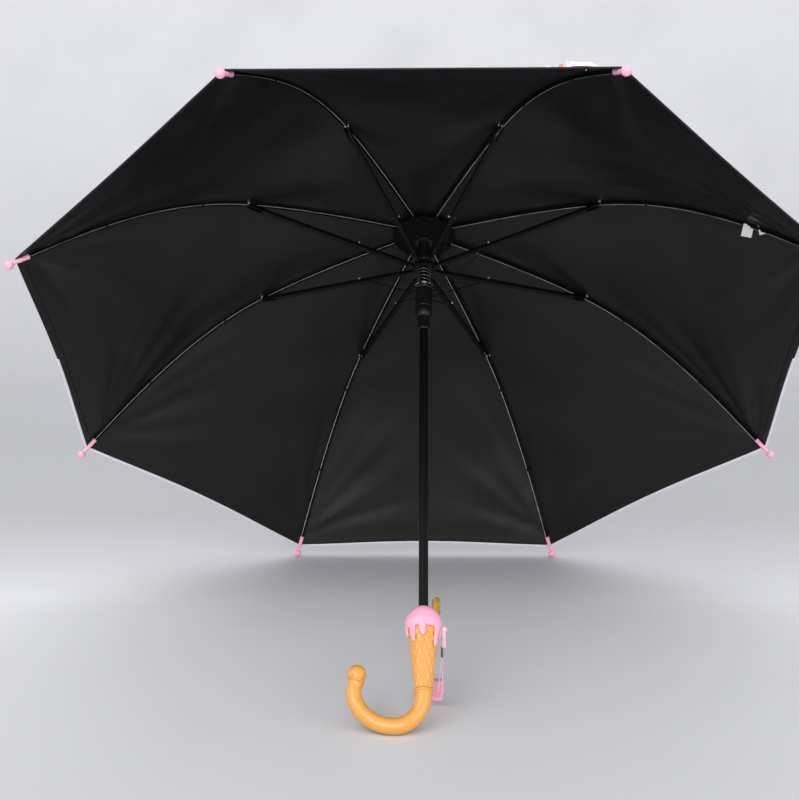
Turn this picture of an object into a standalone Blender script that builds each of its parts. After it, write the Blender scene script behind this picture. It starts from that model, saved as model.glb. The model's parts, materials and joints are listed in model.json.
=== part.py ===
"""A child's stick umbrella, open and lying on its hook and its two far rib tips.

Everything is modelled in the umbrella's own frame first: Z runs along the shaft towards the ferrule, and
z = 0 is the crown of the fabric. One empty then leans that frame until the hook and two tips touch z = 0.
"""

import math

import bmesh
import bpy
from mathutils import Matrix, Vector
from mathutils.geometry import interpolate_bezier

# Ribs and linkage, metres.
RIB_COUNT = 8
RIB_STEP = math.tau / RIB_COUNT
HALF_STEP = RIB_STEP / 2
FIRST_RIB = HALF_STEP
INNER_RIB = 0.1966          # arc from the crown end of a rib to its stretcher pivot
OUTER_RIB = 0.2790          # arc from the stretcher pivot to the centre of the tip ball
RIB_START = Vector((0.0094, 0.0, -0.0038))
CROWN_SLOPE = math.radians(5.8)
PIVOT_SLOPE = math.radians(15.2)
TIP_SLOPE = math.radians(46.1)
RIB_WIDTH = 0.0032
RIB_HEIGHT = 0.0026
RIB_HINGE_DROP = 0.0080     # each rib's flattened end hooks down by this much to its hinge
PIVOT_RISE = 0.0010         # stretcher pivot above the rib's middle line
EYE_RADIUS = 0.0018
STRETCHER_WIDTH = 0.0042
STRETCHER_HEIGHT = 0.0034
STRETCHER_DROP = 0.0022     # stretcher's middle below the line through its two pins
EAR_THICKNESS = 0.0009
FORK_DEPTH = 0.0180
FORK_TAPER = 0.0060         # run over which the stretcher widens into its fork
FORK_WEB = 0.0010
TONGUE_LENGTH = 0.0120      # slim inner end that fits between the collar's flanges
TONGUE_TAPER = 0.0060
TONGUE_SHARE = 0.55         # its width as a share of the stretcher's
WIRE_PIN = 0.0659           # along the stretcher from its inner hinge to the wire's pin
WIRE_RADIUS = 0.0006
WIRE_RUNNER_DROP = 0.0350   # wire's inner end below the stretchers' inner hinges
WIRE_END_RADIUS = 0.0128

# Rib tips and fabric.
BALL_RADIUS = 0.0045
TIP_SOCKET = 0.0024
TIP_NECK = 0.0019
TIP_LENGTH = 0.0225         # socket mouth to ball centre
TIP_SOCKET_END = 0.0135     # ball centre back to where the socket starts to narrow
TIP_NECK_START = 0.0101     # ball centre back to the neck's full length
TIP_COVER = 0.0115          # how far the fabric reaches past the socket's mouth
TIP_RAMP = 0.0180           # ahead of the socket's mouth, where the fabric starts to rise over it
TIP_RAMP_RISE = 0.0150      # run over which it rises
FABRIC = 0.0008
FABRIC_CLEARANCE = 0.0008
CROWN_HOLE = 0.0070
PANEL_SAG = 0.0060          # how far the middle of a panel lies inside the straight line between ribs
PANEL_GAP = 0.0004
PATCH_RADIUS = 0.0240

# Shaft, notch, collar, runner, ferrule.
CLEARANCE = 0.0003
SHAFT_RADIUS = 0.0045
SHAFT_WALL = 0.0007
SHAFT_TOP = 0.0100
NOTCH_RADIUS = SHAFT_RADIUS + 0.0030
NOTCH_FLANGE = SHAFT_RADIUS + 0.0050
NOTCH_TOP = -0.0032
NOTCH_HEIGHT = 0.0165
NOTCH_SLEEVE = SHAFT_RADIUS + 0.0017    # long plain sleeve below the notch
SLEEVE_GAP = 0.0020                     # sleeve's end above the collar
COLLAR_RADIUS = SHAFT_RADIUS + 0.0035
COLLAR_FLANGE = SHAFT_RADIUS + 0.0050
COLLAR_RISE = 0.0085                    # collar above its hinges
COLLAR_FALL = 0.0035                    # collar below its hinges
HINGE_GAP = 0.0007                      # between the flanges and the eyes round them
HINGE_RADIUS = NOTCH_FLANGE + HINGE_GAP + EYE_RADIUS
RUNNER_TOP = -0.0855
RUNNER_LENGTH = 0.0600
RUNNER_OUTLINE = ((0.0064, 0.0), (0.0064, 0.0030), (0.0047, 0.0045), (0.0047, 0.0300), (0.0041, 0.0315),
                  (0.0048, 0.0360), (0.0033, 0.0410), (0.0018, 0.0425), (0.0018, 0.0555), (0.0025, 0.0565),
                  (0.0025, 0.0595), (0.0018, RUNNER_LENGTH))    # (radius past the shaft's, depth below the top)
SPRING_OUTER = SHAFT_RADIUS + 0.0035
SPRING_WIRE = 0.0009
SPRING_TURNS = 5
FERRULE_BASE = SHAFT_RADIUS + 0.0070
FERRULE_NECK = SHAFT_RADIUS + 0.0017
FERRULE_END = 0.0040
FERRULE_LENGTH = 0.0480
FERRULE_TAPER = 0.0300                  # end down to the neck
FERRULE_SKIRT = 0.0085                  # top of the flare above the flange
FERRULE_FLANGE = 0.0035
FERRULE_EASE = 0.0010                   # rounding of the end and of the flare

# Handle.
CAP_TOP = -0.4725           # along the shaft from the crown, which sets the umbrella's length
CAP_RADIUS = 0.0171
CAP_CENTRE = CAP_TOP - math.sqrt(CAP_RADIUS ** 2 - (SHAFT_RADIUS + CLEARANCE) ** 2)
SEAT_DROP = 0.0020
SEAT = CAP_CENTRE - SEAT_DROP           # the cone's flat top, inside the cap
SHAFT_IN_HANDLE = 0.0451
SHAFT_BOTTOM = CAP_TOP - SHAFT_IN_HANDLE
SKIRT_THICKNESS = 0.0019
SKIRT_PLAIN = 0.0078        # depth of the skirt between drips, below the dome's widest line
DRIP_HALF_ANGLE = math.radians(12)
DRIPS = ((8, 0.0150), (48, 0.0210), (90, 0.0140), (132, 0.0190), (186, 0.0150), (229, 0.0217), (268, 0.0169),
         (325, 0.0257))     # (degrees round the cap, depth below its widest line)
CAP_OVERHANG = 0.0020
CONE_TOP_RADIUS = CAP_RADIUS - CAP_OVERHANG
CONE_BOTTOM_RADIUS = 0.0080
CONE_LENGTH = 0.0644        # cap's widest line to the cone's foot
CONE_BOTTOM = CAP_CENTRE - CONE_LENGTH
HOOK_RING_RADIUS = 0.0088
HOOK_RING_HEIGHT = 0.0050
HOOK_EASE = 0.0006          # rounding of the ring's rims
HOOK_TUBE = 0.0077
HOOK_TIP_TUBE = 0.0069
HOOK_LOW_REACH = 0.0253     # shaft axis to the hook's lowest point
HOOK_DEPTH = 0.0288         # ring's foot to the lowest point of the hook's middle line
HOOK_REACH = 0.0619         # shaft axis to the hook's far side
HOOK_RISE = 0.0333          # lowest point up to the far side
HOOK_BALL = 0.0087
HOOK_BALL_REACH = 0.0595
HOOK_BALL_RISE = 0.0482
BUTTON_ANGLE = math.radians(22.5)
BUTTON_REACH = 0.0126
BUTTON_SIZE = Vector((0.0062, 0.0080, 0.0180))
BUTTON_TOP = CAP_TOP + 0.0116
BUTTON_TRAVEL = 0.0025
BUTTON_EDGE = 0.0010
SPRING_ROOM = 0.0030        # under the button when it is pressed right in
BUTTON_COIL = 0.0019
BUTTON_WIRE = 0.0003
BUTTON_TURNS = 3

# Lanyard, measured from its peg on the cap. It hangs straight down in the world.
PEG_REACH = 0.0188
PEG_DROP = 0.0060
PEG_RADIUS = 0.0016
PEG_HEAD = 0.0024
PEG_HEAD_THICKNESS = 0.0009
PEG_ROOT = 0.0012           # how deep the peg is rooted in the cap
TAPE_WIDTH = 0.0032
TAPE_LENGTH = 0.0170
TAPE_THICKNESS = 0.0009
CRIMP_SIZE = Vector((0.0020, 0.0046, 0.0085))
CRIMP_SHIFT = -0.0018
CRIMP_EDGE = 0.0003
CORD_RADIUS = 0.00055
CORD_ROUTE = ((-2.3, 0.0, -27.0), (-2.9, -1.0, -33.0), (-4.0, -3.4, -42.0), (-5.2, -6.1, -51.0),
              (-5.6, -7.0, -56.0), (-5.1, -7.6, -59.4), (-3.45, -7.7, -60.8), (-1.8, -7.5, -59.4),
              (-1.3, -6.6, -56.0), (-1.3, -5.0, -50.0), (-1.3, -2.8, -41.0), (-1.3, -1.0, -33.0),
              (-1.3, 0.0, -27.0))       # millimetres, from the peg
WHISTLE_CENTRE = Vector((-0.0060, 0.0004, -0.0577))
WHISTLE_RADIUS = 0.0052
WHISTLE_HEIGHT = 0.0194
WHISTLE_RIM = 0.8           # end faces' radius as a share of the barrel's
WHISTLE_EDGE = 0.0014
WHISTLE_PEG = 0.0009
WHISTLE_PEG_PLACE = Vector((0.00255, 0, -0.0009))
WHISTLE_PEG_REACH = 0.0098
WHISTLE_PEG_ROOT = 0.0030
WHISTLE_PEG_HEAD = 0.0005   # head past the peg's radius
WHISTLE_PEG_HEAD_THICKNESS = 0.0007
WINDOW_SIZE = Vector((0.0060, 0.0030, 0.0022))
WINDOW_RISE = 0.0030

MATERIALS = {               # base colour, roughness, metallic
    "black_steel": ((0.010, 0.010, 0.011), 0.38, 0.6),
    "black_plastic": ((0.012, 0.012, 0.013), 0.40, 0.0),
    "spring_steel": ((0.25, 0.25, 0.26), 0.30, 1.0),
    "canopy_fabric": ((0.62, 0.58, 0.78), 0.65, 0.0),
    "pink_plastic": ((0.95, 0.36, 0.60), 0.30, 0.0),
    "wafer_plastic": ((0.84, 0.43, 0.09), 0.32, 0.0),
    "gold_metal": ((0.80, 0.58, 0.20), 0.20, 1.0),
    "pink_textile": ((0.90, 0.55, 0.65), 0.80, 0.0),
    "dark_metal": ((0.12, 0.12, 0.12), 0.35, 1.0),
}


def clear_scene():
    for item in list(bpy.data.objects):
        bpy.data.objects.remove(item, do_unlink=True)


def new_collection(name):
    collection = bpy.data.collections.new(name)
    bpy.context.scene.collection.children.link(collection)
    return collection


def material(name):
    found = bpy.data.materials.get(name)
    if found:
        return found
    colour, roughness, metallic = MATERIALS[name]
    found = bpy.data.materials.new(name)
    found.use_nodes = True
    shader = found.node_tree.nodes["Principled BSDF"]
    shader.inputs["Base Color"].default_value = (*colour, 1.0)
    shader.inputs["Roughness"].default_value = roughness
    shader.inputs["Metallic"].default_value = metallic
    return found


def add_object(name, data, slot, parent=None, collection=None):
    item = bpy.data.objects.new(name, data)
    (collection or umbrella_parts).objects.link(item)
    if slot and not data.materials:
        data.materials.append(material(slot))
    item.parent = parent
    return item


def empty(name, parent, location=(0, 0, 0), rotation=(0, 0, 0)):
    item = add_object(name, None, None, parent)
    item.location = location
    item.rotation_euler = rotation
    return item


def mesh_from(bm, name):
    mesh = bpy.data.meshes.new(name)
    bm.to_mesh(mesh)
    bm.free()
    mesh.shade_smooth()
    mesh.set_sharp_from_angle(angle=math.radians(40))
    return mesh


def turned(name, outline, slot, parent=None, steps=24, collection=None, ring=False):
    """Turns (radius, z) points round Z. The outline runs down the outer side; a ring's closes on itself."""
    bm = bmesh.new()
    points = [bm.verts.new((radius, 0, z)) for radius, z in outline]
    for start, end in zip(points, points[1:]):
        bm.edges.new((start, end))
    if ring:
        bm.edges.new((points[-1], points[0]))
    item = add_object(name, mesh_from(bm, name), slot, parent, collection)
    screw = item.modifiers.new("Turn", "SCREW")
    screw.steps = steps
    screw.render_steps = steps
    screw.use_merge_vertices = True
    screw.merge_threshold = 0.00001
    return item


def flat_outline(name, outlines, thickness, slot):
    """Curve data for a flat outline in its own XY plane, with any holes, as thick as asked along Z."""
    curve = bpy.data.curves.new(name, "CURVE")
    curve.dimensions = "2D"
    curve.fill_mode = "BOTH"
    curve.extrude = thickness / 2
    for outline in outlines:
        spline = curve.splines.new("POLY")
        spline.points.add(len(outline) - 1)
        for point, (x, y) in zip(spline.points, outline):
            point.co = (x, y, 0, 1)
        spline.use_cyclic_u = True
    curve.materials.append(material(slot))
    return curve


def tube(name, points, radius, slot, resolution=2, radii=None):
    """Curve data for a tube through the points, with an optional radius at each point."""
    curve = bpy.data.curves.new(name, "CURVE")
    curve.dimensions = "3D"
    curve.bevel_depth = radius
    curve.bevel_resolution = resolution
    curve.use_fill_caps = True
    spline = curve.splines.new("POLY")
    spline.points.add(len(points) - 1)
    for index, place in enumerate(points):
        spline.points[index].co = (*place, 1)
        spline.points[index].radius = radii[index] / radius if radii else 1
    curve.materials.append(material(slot))
    return curve


def boolean(item, cutter, operation):
    change = item.modifiers.new(f"{operation.title()} {cutter.name}", "BOOLEAN")
    change.object = cutter
    change.operation = operation
    cutter.hide_render = True
    cutter.display_type = "WIRE"


def arc(centre, radius, start, end, count):
    steps = [start + (end - start) * i / (count - 1) for i in range(count)]
    return [(centre[0] + radius * math.cos(a), centre[1] + radius * math.sin(a)) for a in steps]


def rib_slope(along):
    """Angle below the horizontal. The rib bends like a beam pushed at its pivot and free at both ends."""
    if along <= INNER_RIB:
        return CROWN_SLOPE + (PIVOT_SLOPE - CROWN_SLOPE) * (along / INNER_RIB) ** 2
    past = (along - INNER_RIB) / OUTER_RIB
    return PIVOT_SLOPE + (TIP_SLOPE - PIVOT_SLOPE) * (2 * past - past * past)


def rib_point(along):
    """Place of the rib's middle line in the plane of the shaft and the rib."""
    steps = 60
    place = RIB_START.copy()
    for i in range(steps):
        slope = rib_slope(along * (i + 0.5) / steps)
        place += Vector((math.cos(slope), 0, -math.sin(slope))) * along / steps
    return place


def rib_normal(along):
    slope = rib_slope(along)
    return Vector((math.sin(slope), 0, math.cos(slope)))


RIB_HINGE = Vector((HINGE_RADIUS, 0, RIB_START.z - RIB_HINGE_DROP))
PIVOT = rib_point(INNER_RIB) + rib_normal(INNER_RIB) * PIVOT_RISE
COLLAR_HINGE = Vector((HINGE_RADIUS, 0, 2 * PIVOT.z - RIB_HINGE.z))
STRETCHER_LENGTH = (PIVOT - COLLAR_HINGE).length
STRETCHER_RISE = math.atan2(PIVOT.z - COLLAR_HINGE.z, PIVOT.x - COLLAR_HINGE.x)
STRETCHER_ALONG = Vector((math.cos(STRETCHER_RISE), 0, math.sin(STRETCHER_RISE)))
WIRE_PLACE = COLLAR_HINGE + STRETCHER_ALONG * WIRE_PIN
WIRE_SIDE = STRETCHER_WIDTH / 2 + CLEARANCE + WIRE_RADIUS
WIRE_END = Vector((WIRE_END_RADIUS, 0, COLLAR_HINGE.z - WIRE_RUNNER_DROP))
BALL = rib_point(INNER_RIB + OUTER_RIB)
TIP_START = INNER_RIB + OUTER_RIB - TIP_LENGTH


def make_shaft(frame):
    bore = SHAFT_RADIUS - SHAFT_WALL
    turned("shaft_tube", [(SHAFT_RADIUS, SHAFT_TOP), (SHAFT_RADIUS, SHAFT_BOTTOM), (bore, SHAFT_BOTTOM),
                          (bore, SHAFT_TOP)], "black_steel", frame, ring=True)


def make_notch(frame):
    """The fixed top ring that the ribs hinge round, and the plain sleeve below it."""
    bore = SHAFT_RADIUS + CLEARANCE
    bottom = NOTCH_TOP - NOTCH_HEIGHT
    flange = NOTCH_HEIGHT / 6
    sleeve = COLLAR_HINGE.z + COLLAR_RISE + SLEEVE_GAP
    turned("top_notch", [(NOTCH_RADIUS, NOTCH_TOP), (NOTCH_RADIUS, bottom + 2 * flange),
                         (NOTCH_FLANGE, bottom + flange), (NOTCH_FLANGE, bottom), (NOTCH_SLEEVE, bottom),
                         (NOTCH_SLEEVE, sleeve), (bore, sleeve), (bore, NOTCH_TOP)], "black_plastic", frame, ring=True)


def make_hub_patch(frame):
    bore = SHAFT_RADIUS + CLEARANCE
    top = FABRIC + FABRIC_CLEARANCE
    turned("hub_patch", [(PATCH_RADIUS, top - 2 * FABRIC), (PATCH_RADIUS, top - 3 * FABRIC), (bore, top - FABRIC),
                         (bore, top)], "canopy_fabric", frame, ring=True)


def make_ferrule(frame):
    """The point above the fabric: a flanged cap that narrows to a blunt flat end."""
    base = FABRIC + FABRIC_CLEARANCE + CLEARANCE
    top = base + FERRULE_LENGTH
    bore = SHAFT_RADIUS + CLEARANCE
    outline = [(0, top), (FERRULE_END, top), (FERRULE_END + FERRULE_EASE, top - FERRULE_EASE),
               (FERRULE_NECK, top - FERRULE_TAPER), (FERRULE_NECK + FERRULE_EASE, base + FERRULE_SKIRT),
               (FERRULE_BASE, base + FERRULE_FLANGE), (FERRULE_BASE, base), (bore, base),
               (bore, SHAFT_TOP + CLEARANCE), (0, SHAFT_TOP + CLEARANCE)]
    turned("ferrule", outline, "black_plastic", frame)


def make_collar(hinge):
    """The ring that slides on the shaft and carries the stretchers' inner ends."""
    bore = SHAFT_RADIUS + CLEARANCE
    top = COLLAR_HINGE.z + COLLAR_RISE
    bottom = COLLAR_HINGE.z - COLLAR_FALL
    flange = (COLLAR_RISE + COLLAR_FALL) / 6
    outline = [(COLLAR_FLANGE, top), (COLLAR_FLANGE, top - flange), (COLLAR_RADIUS, top - 1.5 * flange),
               (COLLAR_RADIUS, bottom + 1.2 * flange), (COLLAR_FLANGE, bottom + 0.7 * flange), (COLLAR_FLANGE, bottom),
               (bore, bottom), (bore, top)]
    turned("stretcher_collar", outline, "black_plastic", hinge, ring=True)


def make_runner(slide):
    """The sliding sleeve: a wire rim, a gripped body, a soft bulge and a slimmer neck with an end ring."""
    bore = SHAFT_RADIUS + CLEARANCE
    outline = [(SHAFT_RADIUS + past, RUNNER_TOP - depth) for past, depth in RUNNER_OUTLINE]
    outline += [(bore, RUNNER_TOP - RUNNER_LENGTH), (bore, RUNNER_TOP)]
    turned("runner", outline, "black_plastic", slide, ring=True)


def make_opening_spring(frame):
    """Coils round the shaft between the collar and the runner."""
    top = COLLAR_HINGE.z - COLLAR_FALL - CLEARANCE - SPRING_WIRE
    bottom = RUNNER_TOP + CLEARANCE + SPRING_WIRE
    middle = SPRING_OUTER - SPRING_WIRE
    per_turn = 9
    count = SPRING_TURNS * per_turn
    points = []
    for i in range(count + 1):
        angle = math.tau * i / per_turn
        points.append((middle * math.cos(angle), middle * math.sin(angle), top + (bottom - top) * i / count))
    add_object("opening_spring", tube("opening_spring", points, SPRING_WIRE, "spring_steel", resolution=1), None, frame)


def rib_outline():
    """Side view of a rib as one closed outline: top edge out, bottom edge back, then round the hinge eye."""
    half = RIB_HEIGHT / 2
    end = TIP_START - CLEARANCE
    count = 20
    places = [end * (0.012 + 0.988 * i / count) for i in range(count + 1)]
    top = [rib_point(s) + rib_normal(s) * half for s in places]
    bottom = [rib_point(s) - rib_normal(s) * half for s in reversed(places)]
    eye = arc((RIB_HINGE.x, RIB_HINGE.z), EYE_RADIUS, 0, -math.pi, 7)
    return [(p.x, p.z) for p in top + bottom] + eye


def stretcher_outline():
    """Plan view of a stretcher from its inner eye to the fork that straddles the rib."""
    half = STRETCHER_WIDTH / 2
    inside = RIB_WIDTH / 2 + CLEARANCE
    outside = inside + EAR_THICKNESS
    root = STRETCHER_LENGTH - FORK_DEPTH
    end = STRETCHER_LENGTH + EYE_RADIUS
    slim = half * TONGUE_SHARE
    side = [(-EYE_RADIUS, slim), (TONGUE_LENGTH, slim), (TONGUE_LENGTH + TONGUE_TAPER, half),
            (root - FORK_TAPER, half), (root, outside), (end, outside), (end, inside), (root + FORK_WEB, inside)]
    return side + [(x, -y) for x, y in reversed(side)]


def make_gore_mesh():
    """One eighth of the fabric, centred on its rib and reaching half way to each neighbour."""
    bm = bmesh.new()
    rows, columns = 15, 4
    bmesh.ops.create_grid(bm, x_segments=columns, y_segments=rows, size=1)
    over_rib = RIB_HEIGHT / 2 + FABRIC_CLEARANCE + FABRIC / 2
    over_tip = max(over_rib, TIP_SOCKET + CLEARANCE + FABRIC / 2)
    start = CROWN_HOLE - RIB_START.x
    end = TIP_START + TIP_COVER
    for vert in bm.verts:
        across = vert.co.x
        down = (vert.co.y + 1) / 2
        along = start + (end - start) * down
        ramp = min(1, max(0, (along - TIP_START + TIP_RAMP) / TIP_RAMP_RISE))
        place = rib_point(along) + rib_normal(along) * (over_rib + (over_tip - over_rib) * ramp)
        edge = place.x * math.sin(HALF_STEP) * math.cos(HALF_STEP) - PANEL_GAP / 2
        sag = PANEL_SAG * math.sin(math.pi * down) * abs(across) ** 1.5
        pull = place.x * math.sin(HALF_STEP) ** 2 * abs(across)
        vert.co = Vector((place.x - pull, edge * across, place.z - sag))
    bmesh.ops.recalc_face_normals(bm, faces=bm.faces)
    return mesh_from(bm, "canopy_panel")


def make_tip(name, hinge):
    """Turned tip: a socket over the rib's end, a neck and a ball."""
    start = rib_point(TIP_START)
    neck = -math.sqrt(BALL_RADIUS ** 2 - TIP_NECK ** 2)
    ball = [(0, BALL_RADIUS)] + arc((0, 0), BALL_RADIUS, math.radians(69), math.radians(-46), 6)
    outline = ball + [(TIP_NECK, neck), (TIP_NECK, -TIP_NECK_START), (TIP_SOCKET, -TIP_SOCKET_END),
                      (TIP_SOCKET, -TIP_LENGTH), (0, -TIP_LENGTH)]
    tip = turned(name, outline, "pink_plastic", hinge, steps=12)
    tip.location = BALL - RIB_HINGE
    along = BALL - start
    tip.rotation_euler = (0, math.atan2(along.x, along.z), 0)
    return tip


def make_rib_set(frame, number, shared):
    """A rib with its tip and fabric, its stretcher and its wire, each on its own hinge."""
    angle = FIRST_RIB + RIB_STEP * (number - 1)
    spoke = Matrix.Rotation(angle, 3, "Z")
    rib_hinge = empty(f"rib_hinge_{number}", frame, spoke @ RIB_HINGE, (0, 0, angle))
    rib = add_object(f"rib_{number}", shared["rib"], None, rib_hinge)
    rib.location = -RIB_HINGE
    rib.rotation_euler = (math.pi / 2, 0, 0)
    make_tip(f"rib_tip_{number}", rib_hinge)
    panel = add_object(f"canopy_panel_{number}", shared["panel"], "canopy_fabric", rib_hinge)
    panel.location = -RIB_HINGE
    wall = panel.modifiers.new("Fabric", "SOLIDIFY")
    wall.thickness = FABRIC
    wall.offset = 0
    stretcher_hinge = empty(f"stretcher_hinge_{number}", rib_hinge, PIVOT - RIB_HINGE)
    stretcher = add_object(f"stretcher_{number}", shared["stretcher"], None, stretcher_hinge)
    down = Vector((math.sin(STRETCHER_RISE), 0, -math.cos(STRETCHER_RISE)))
    stretcher.location = COLLAR_HINGE - PIVOT + down * STRETCHER_DROP
    stretcher.rotation_euler = (0, -STRETCHER_RISE, 0)
    wire_hinge = empty(f"wire_hinge_{number}", stretcher_hinge, WIRE_PLACE - PIVOT)
    wire = add_object(f"wire_{number}", shared["wire"], None, wire_hinge)
    wire.location = (0, WIRE_SIDE, 0)
    return stretcher_hinge


def cone_radius(z):
    share = (CAP_CENTRE - z) / (CAP_CENTRE - CONE_BOTTOM)
    return CONE_TOP_RADIUS + (CONE_BOTTOM_RADIUS - CONE_TOP_RADIUS) * share


def make_cone(frame):
    top = SEAT
    socket = SHAFT_BOTTOM - CLEARANCE
    bore = SHAFT_RADIUS + CLEARANCE
    outline = [(cone_radius(top), top), (CONE_BOTTOM_RADIUS, CONE_BOTTOM), (0, CONE_BOTTOM), (0, socket),
               (bore, socket), (bore, top)]
    turned("waffle_cone", outline, "wafer_plastic", frame, steps=32, ring=True)


def drip_depth(angle):
    depth = SKIRT_PLAIN
    for degrees, length in DRIPS:
        turn = (angle - math.radians(degrees) + math.pi) % math.tau - math.pi
        share = abs(turn) / DRIP_HALF_ANGLE
        if share < 1:
            depth = max(depth, SKIRT_PLAIN + (length - SKIRT_PLAIN) * (1 - share ** 3) ** 0.6)
    return depth


def make_cap(frame):
    """The dome over the cone's top, its skirt of drips, the lanyard's peg and the button's pocket."""
    bore = SHAFT_RADIUS + CLEARANCE
    deepest = max(length for _, length in DRIPS)
    start = math.acos(bore / CAP_RADIUS)
    dome = [(CAP_RADIUS * math.cos(a), CAP_CENTRE + CAP_RADIUS * math.sin(a)) for a in
            [start * (1 - i / 7) for i in range(8)]]
    skirt = [i / 7 for i in range(1, 8)]
    outer = [(cone_radius(CAP_CENTRE - deepest * s) + CLEARANCE + SKIRT_THICKNESS * (1 - s ** 4 * 0.5),
              CAP_CENTRE - deepest * s) for s in skirt]
    inner = [(cone_radius(CAP_CENTRE - deepest * s) + CLEARANCE, CAP_CENTRE - deepest * s) for s in reversed(skirt)]
    ceiling = SEAT + CLEARANCE
    outline = dome + outer + inner + [(cone_radius(ceiling) + CLEARANCE, ceiling), (bore, ceiling)]
    bm = bmesh.new()
    points = [bm.verts.new((radius, 0, z)) for radius, z in outline]
    edges = [bm.edges.new(pair) for pair in zip(points, points[1:] + points[:1])]
    bmesh.ops.spin(bm, geom=points + edges, axis=(0, 0, 1), cent=(0, 0, 0), steps=54, angle=math.tau, use_merge=True)
    lowest_plain = CAP_CENTRE - SKIRT_PLAIN / 2
    for vert in bm.verts:
        if vert.co.z >= lowest_plain:
            continue
        depth = drip_depth(math.atan2(vert.co.y, vert.co.x)) - SKIRT_PLAIN / 2
        share = (lowest_plain - vert.co.z) / (deepest - SKIRT_PLAIN / 2)
        extra = vert.co.xy.length - cone_radius(vert.co.z)
        vert.co.z = lowest_plain - depth * share
        vert.co.xy = vert.co.xy.normalized() * (cone_radius(vert.co.z) + extra)
    bmesh.ops.recalc_face_normals(bm, faces=bm.faces)
    cap = add_object("icing_cap", mesh_from(bm, "icing_cap"), "pink_plastic", frame)
    head = PEG_REACH + TAPE_WIDTH / 2 + CLEARANCE
    face = head + PEG_HEAD_THICKNESS
    root = CAP_RADIUS - PEG_ROOT
    outline = [(0, face), (PEG_HEAD, face), (PEG_HEAD, head), (PEG_RADIUS, head), (PEG_RADIUS, root), (0, root)]
    peg = turned("lanyard_peg", outline, "pink_plastic", frame, steps=16, collection=cutters)
    peg.location = (0, 0, CAP_CENTRE - PEG_DROP)
    peg.rotation_euler = (0, math.pi / 2, 0)
    boolean(cap, peg, "UNION")
    pocket_size = BUTTON_SIZE + Vector((2, 2, 0)) * CLEARANCE
    pocket = box("button_pocket", pocket_size, None, frame, cutters)
    pocket.location = button_place() - Vector((0, 0, BUTTON_TRAVEL + SPRING_ROOM))
    pocket.rotation_euler = (0, 0, BUTTON_ANGLE)
    boolean(cap, pocket, "DIFFERENCE")


def button_place():
    reach = Vector((BUTTON_REACH * math.cos(BUTTON_ANGLE), BUTTON_REACH * math.sin(BUTTON_ANGLE), 0))
    return reach + Vector((0, 0, BUTTON_TOP - BUTTON_SIZE.z / 2))


def box(name, size, slot, parent, collection=None):
    bm = bmesh.new()
    bmesh.ops.create_cube(bm, size=1)
    bmesh.ops.scale(bm, vec=size, verts=bm.verts)
    return add_object(name, mesh_from(bm, name), slot, parent, collection)


def make_button(frame):
    """A faceted push button in the cap's pocket, with the small spring under it."""
    slide = empty("button_slide", frame, button_place(), (0, 0, BUTTON_ANGLE))
    button = box("release_button", BUTTON_SIZE, "gold_metal", slide)
    facets = button.modifiers.new("Facets", "BEVEL")
    facets.width = BUTTON_EDGE
    facets.segments = 1
    top = -BUTTON_SIZE.z / 2 - CLEARANCE - BUTTON_WIRE
    per_turn = 8
    count = BUTTON_TURNS * per_turn
    height = BUTTON_TRAVEL + SPRING_ROOM - 2 * CLEARANCE - 2 * BUTTON_WIRE
    points = []
    for i in range(count + 1):
        angle = math.tau * i / per_turn
        points.append((BUTTON_COIL * math.cos(angle), BUTTON_COIL * math.sin(angle), top - height * i / count))
    spring = tube("button_spring", points, BUTTON_WIRE, "spring_steel", resolution=1)
    spring_item = add_object("button_spring", spring, None, frame)
    spring_item.location = button_place()
    spring_item.rotation_euler = (0, 0, BUTTON_ANGLE)


def make_hook(frame):
    """Ring, bend and ball end swept as one tube whose radius changes along the way."""
    top = CONE_BOTTOM - CLEARANCE
    ring = HOOK_RING_RADIUS
    foot = top - HOOK_RING_HEIGHT
    lowest = foot - HOOK_DEPTH
    path = [((0, 0, top), ring - HOOK_EASE), ((0, 0, top - HOOK_EASE), ring), ((0, 0, foot + HOOK_EASE), ring),
            ((0, 0, foot), HOOK_TUBE)]
    quarter = 7
    for i in range(1, 2 * quarter + 1):
        turn = math.pi / 2 * (i if i <= quarter else i - quarter) / quarter
        if i <= quarter:
            place = (-HOOK_LOW_REACH * (1 - math.cos(turn)), 0, foot - HOOK_DEPTH * math.sin(turn))
        else:
            place = (-HOOK_LOW_REACH - (HOOK_REACH - HOOK_LOW_REACH) * math.sin(turn), 0,
                     lowest + HOOK_RISE * (1 - math.cos(turn)))
        path.append((place, HOOK_TUBE + (HOOK_TIP_TUBE - HOOK_TUBE) * i / (2 * quarter)))
    ball_z = lowest + HOOK_BALL_RISE
    neck = math.sqrt(HOOK_BALL ** 2 - HOOK_TIP_TUBE ** 2)
    upturn = ball_z - neck - CLEARANCE - lowest - HOOK_RISE
    for share in (0.5, 1.0):
        inturn = (HOOK_REACH - HOOK_BALL_REACH) * share
        path.append(((inturn - HOOK_REACH, 0, lowest + HOOK_RISE + upturn * share), HOOK_TIP_TUBE))
    low = -math.asin(neck / HOOK_BALL)
    rings = 6
    for i in range(rings + 1):
        a = low + (math.radians(80) - low) * i / rings
        path.append(((-HOOK_BALL_REACH, 0, ball_z + HOOK_BALL * math.sin(a)), HOOK_BALL * math.cos(a)))
    curve = tube("handle_hook", [place for place, _ in path], HOOK_TUBE, "wafer_plastic", resolution=6,
                 radii=[radius for _, radius in path])
    add_object("handle_hook", curve, None, frame)
    return lowest


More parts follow.
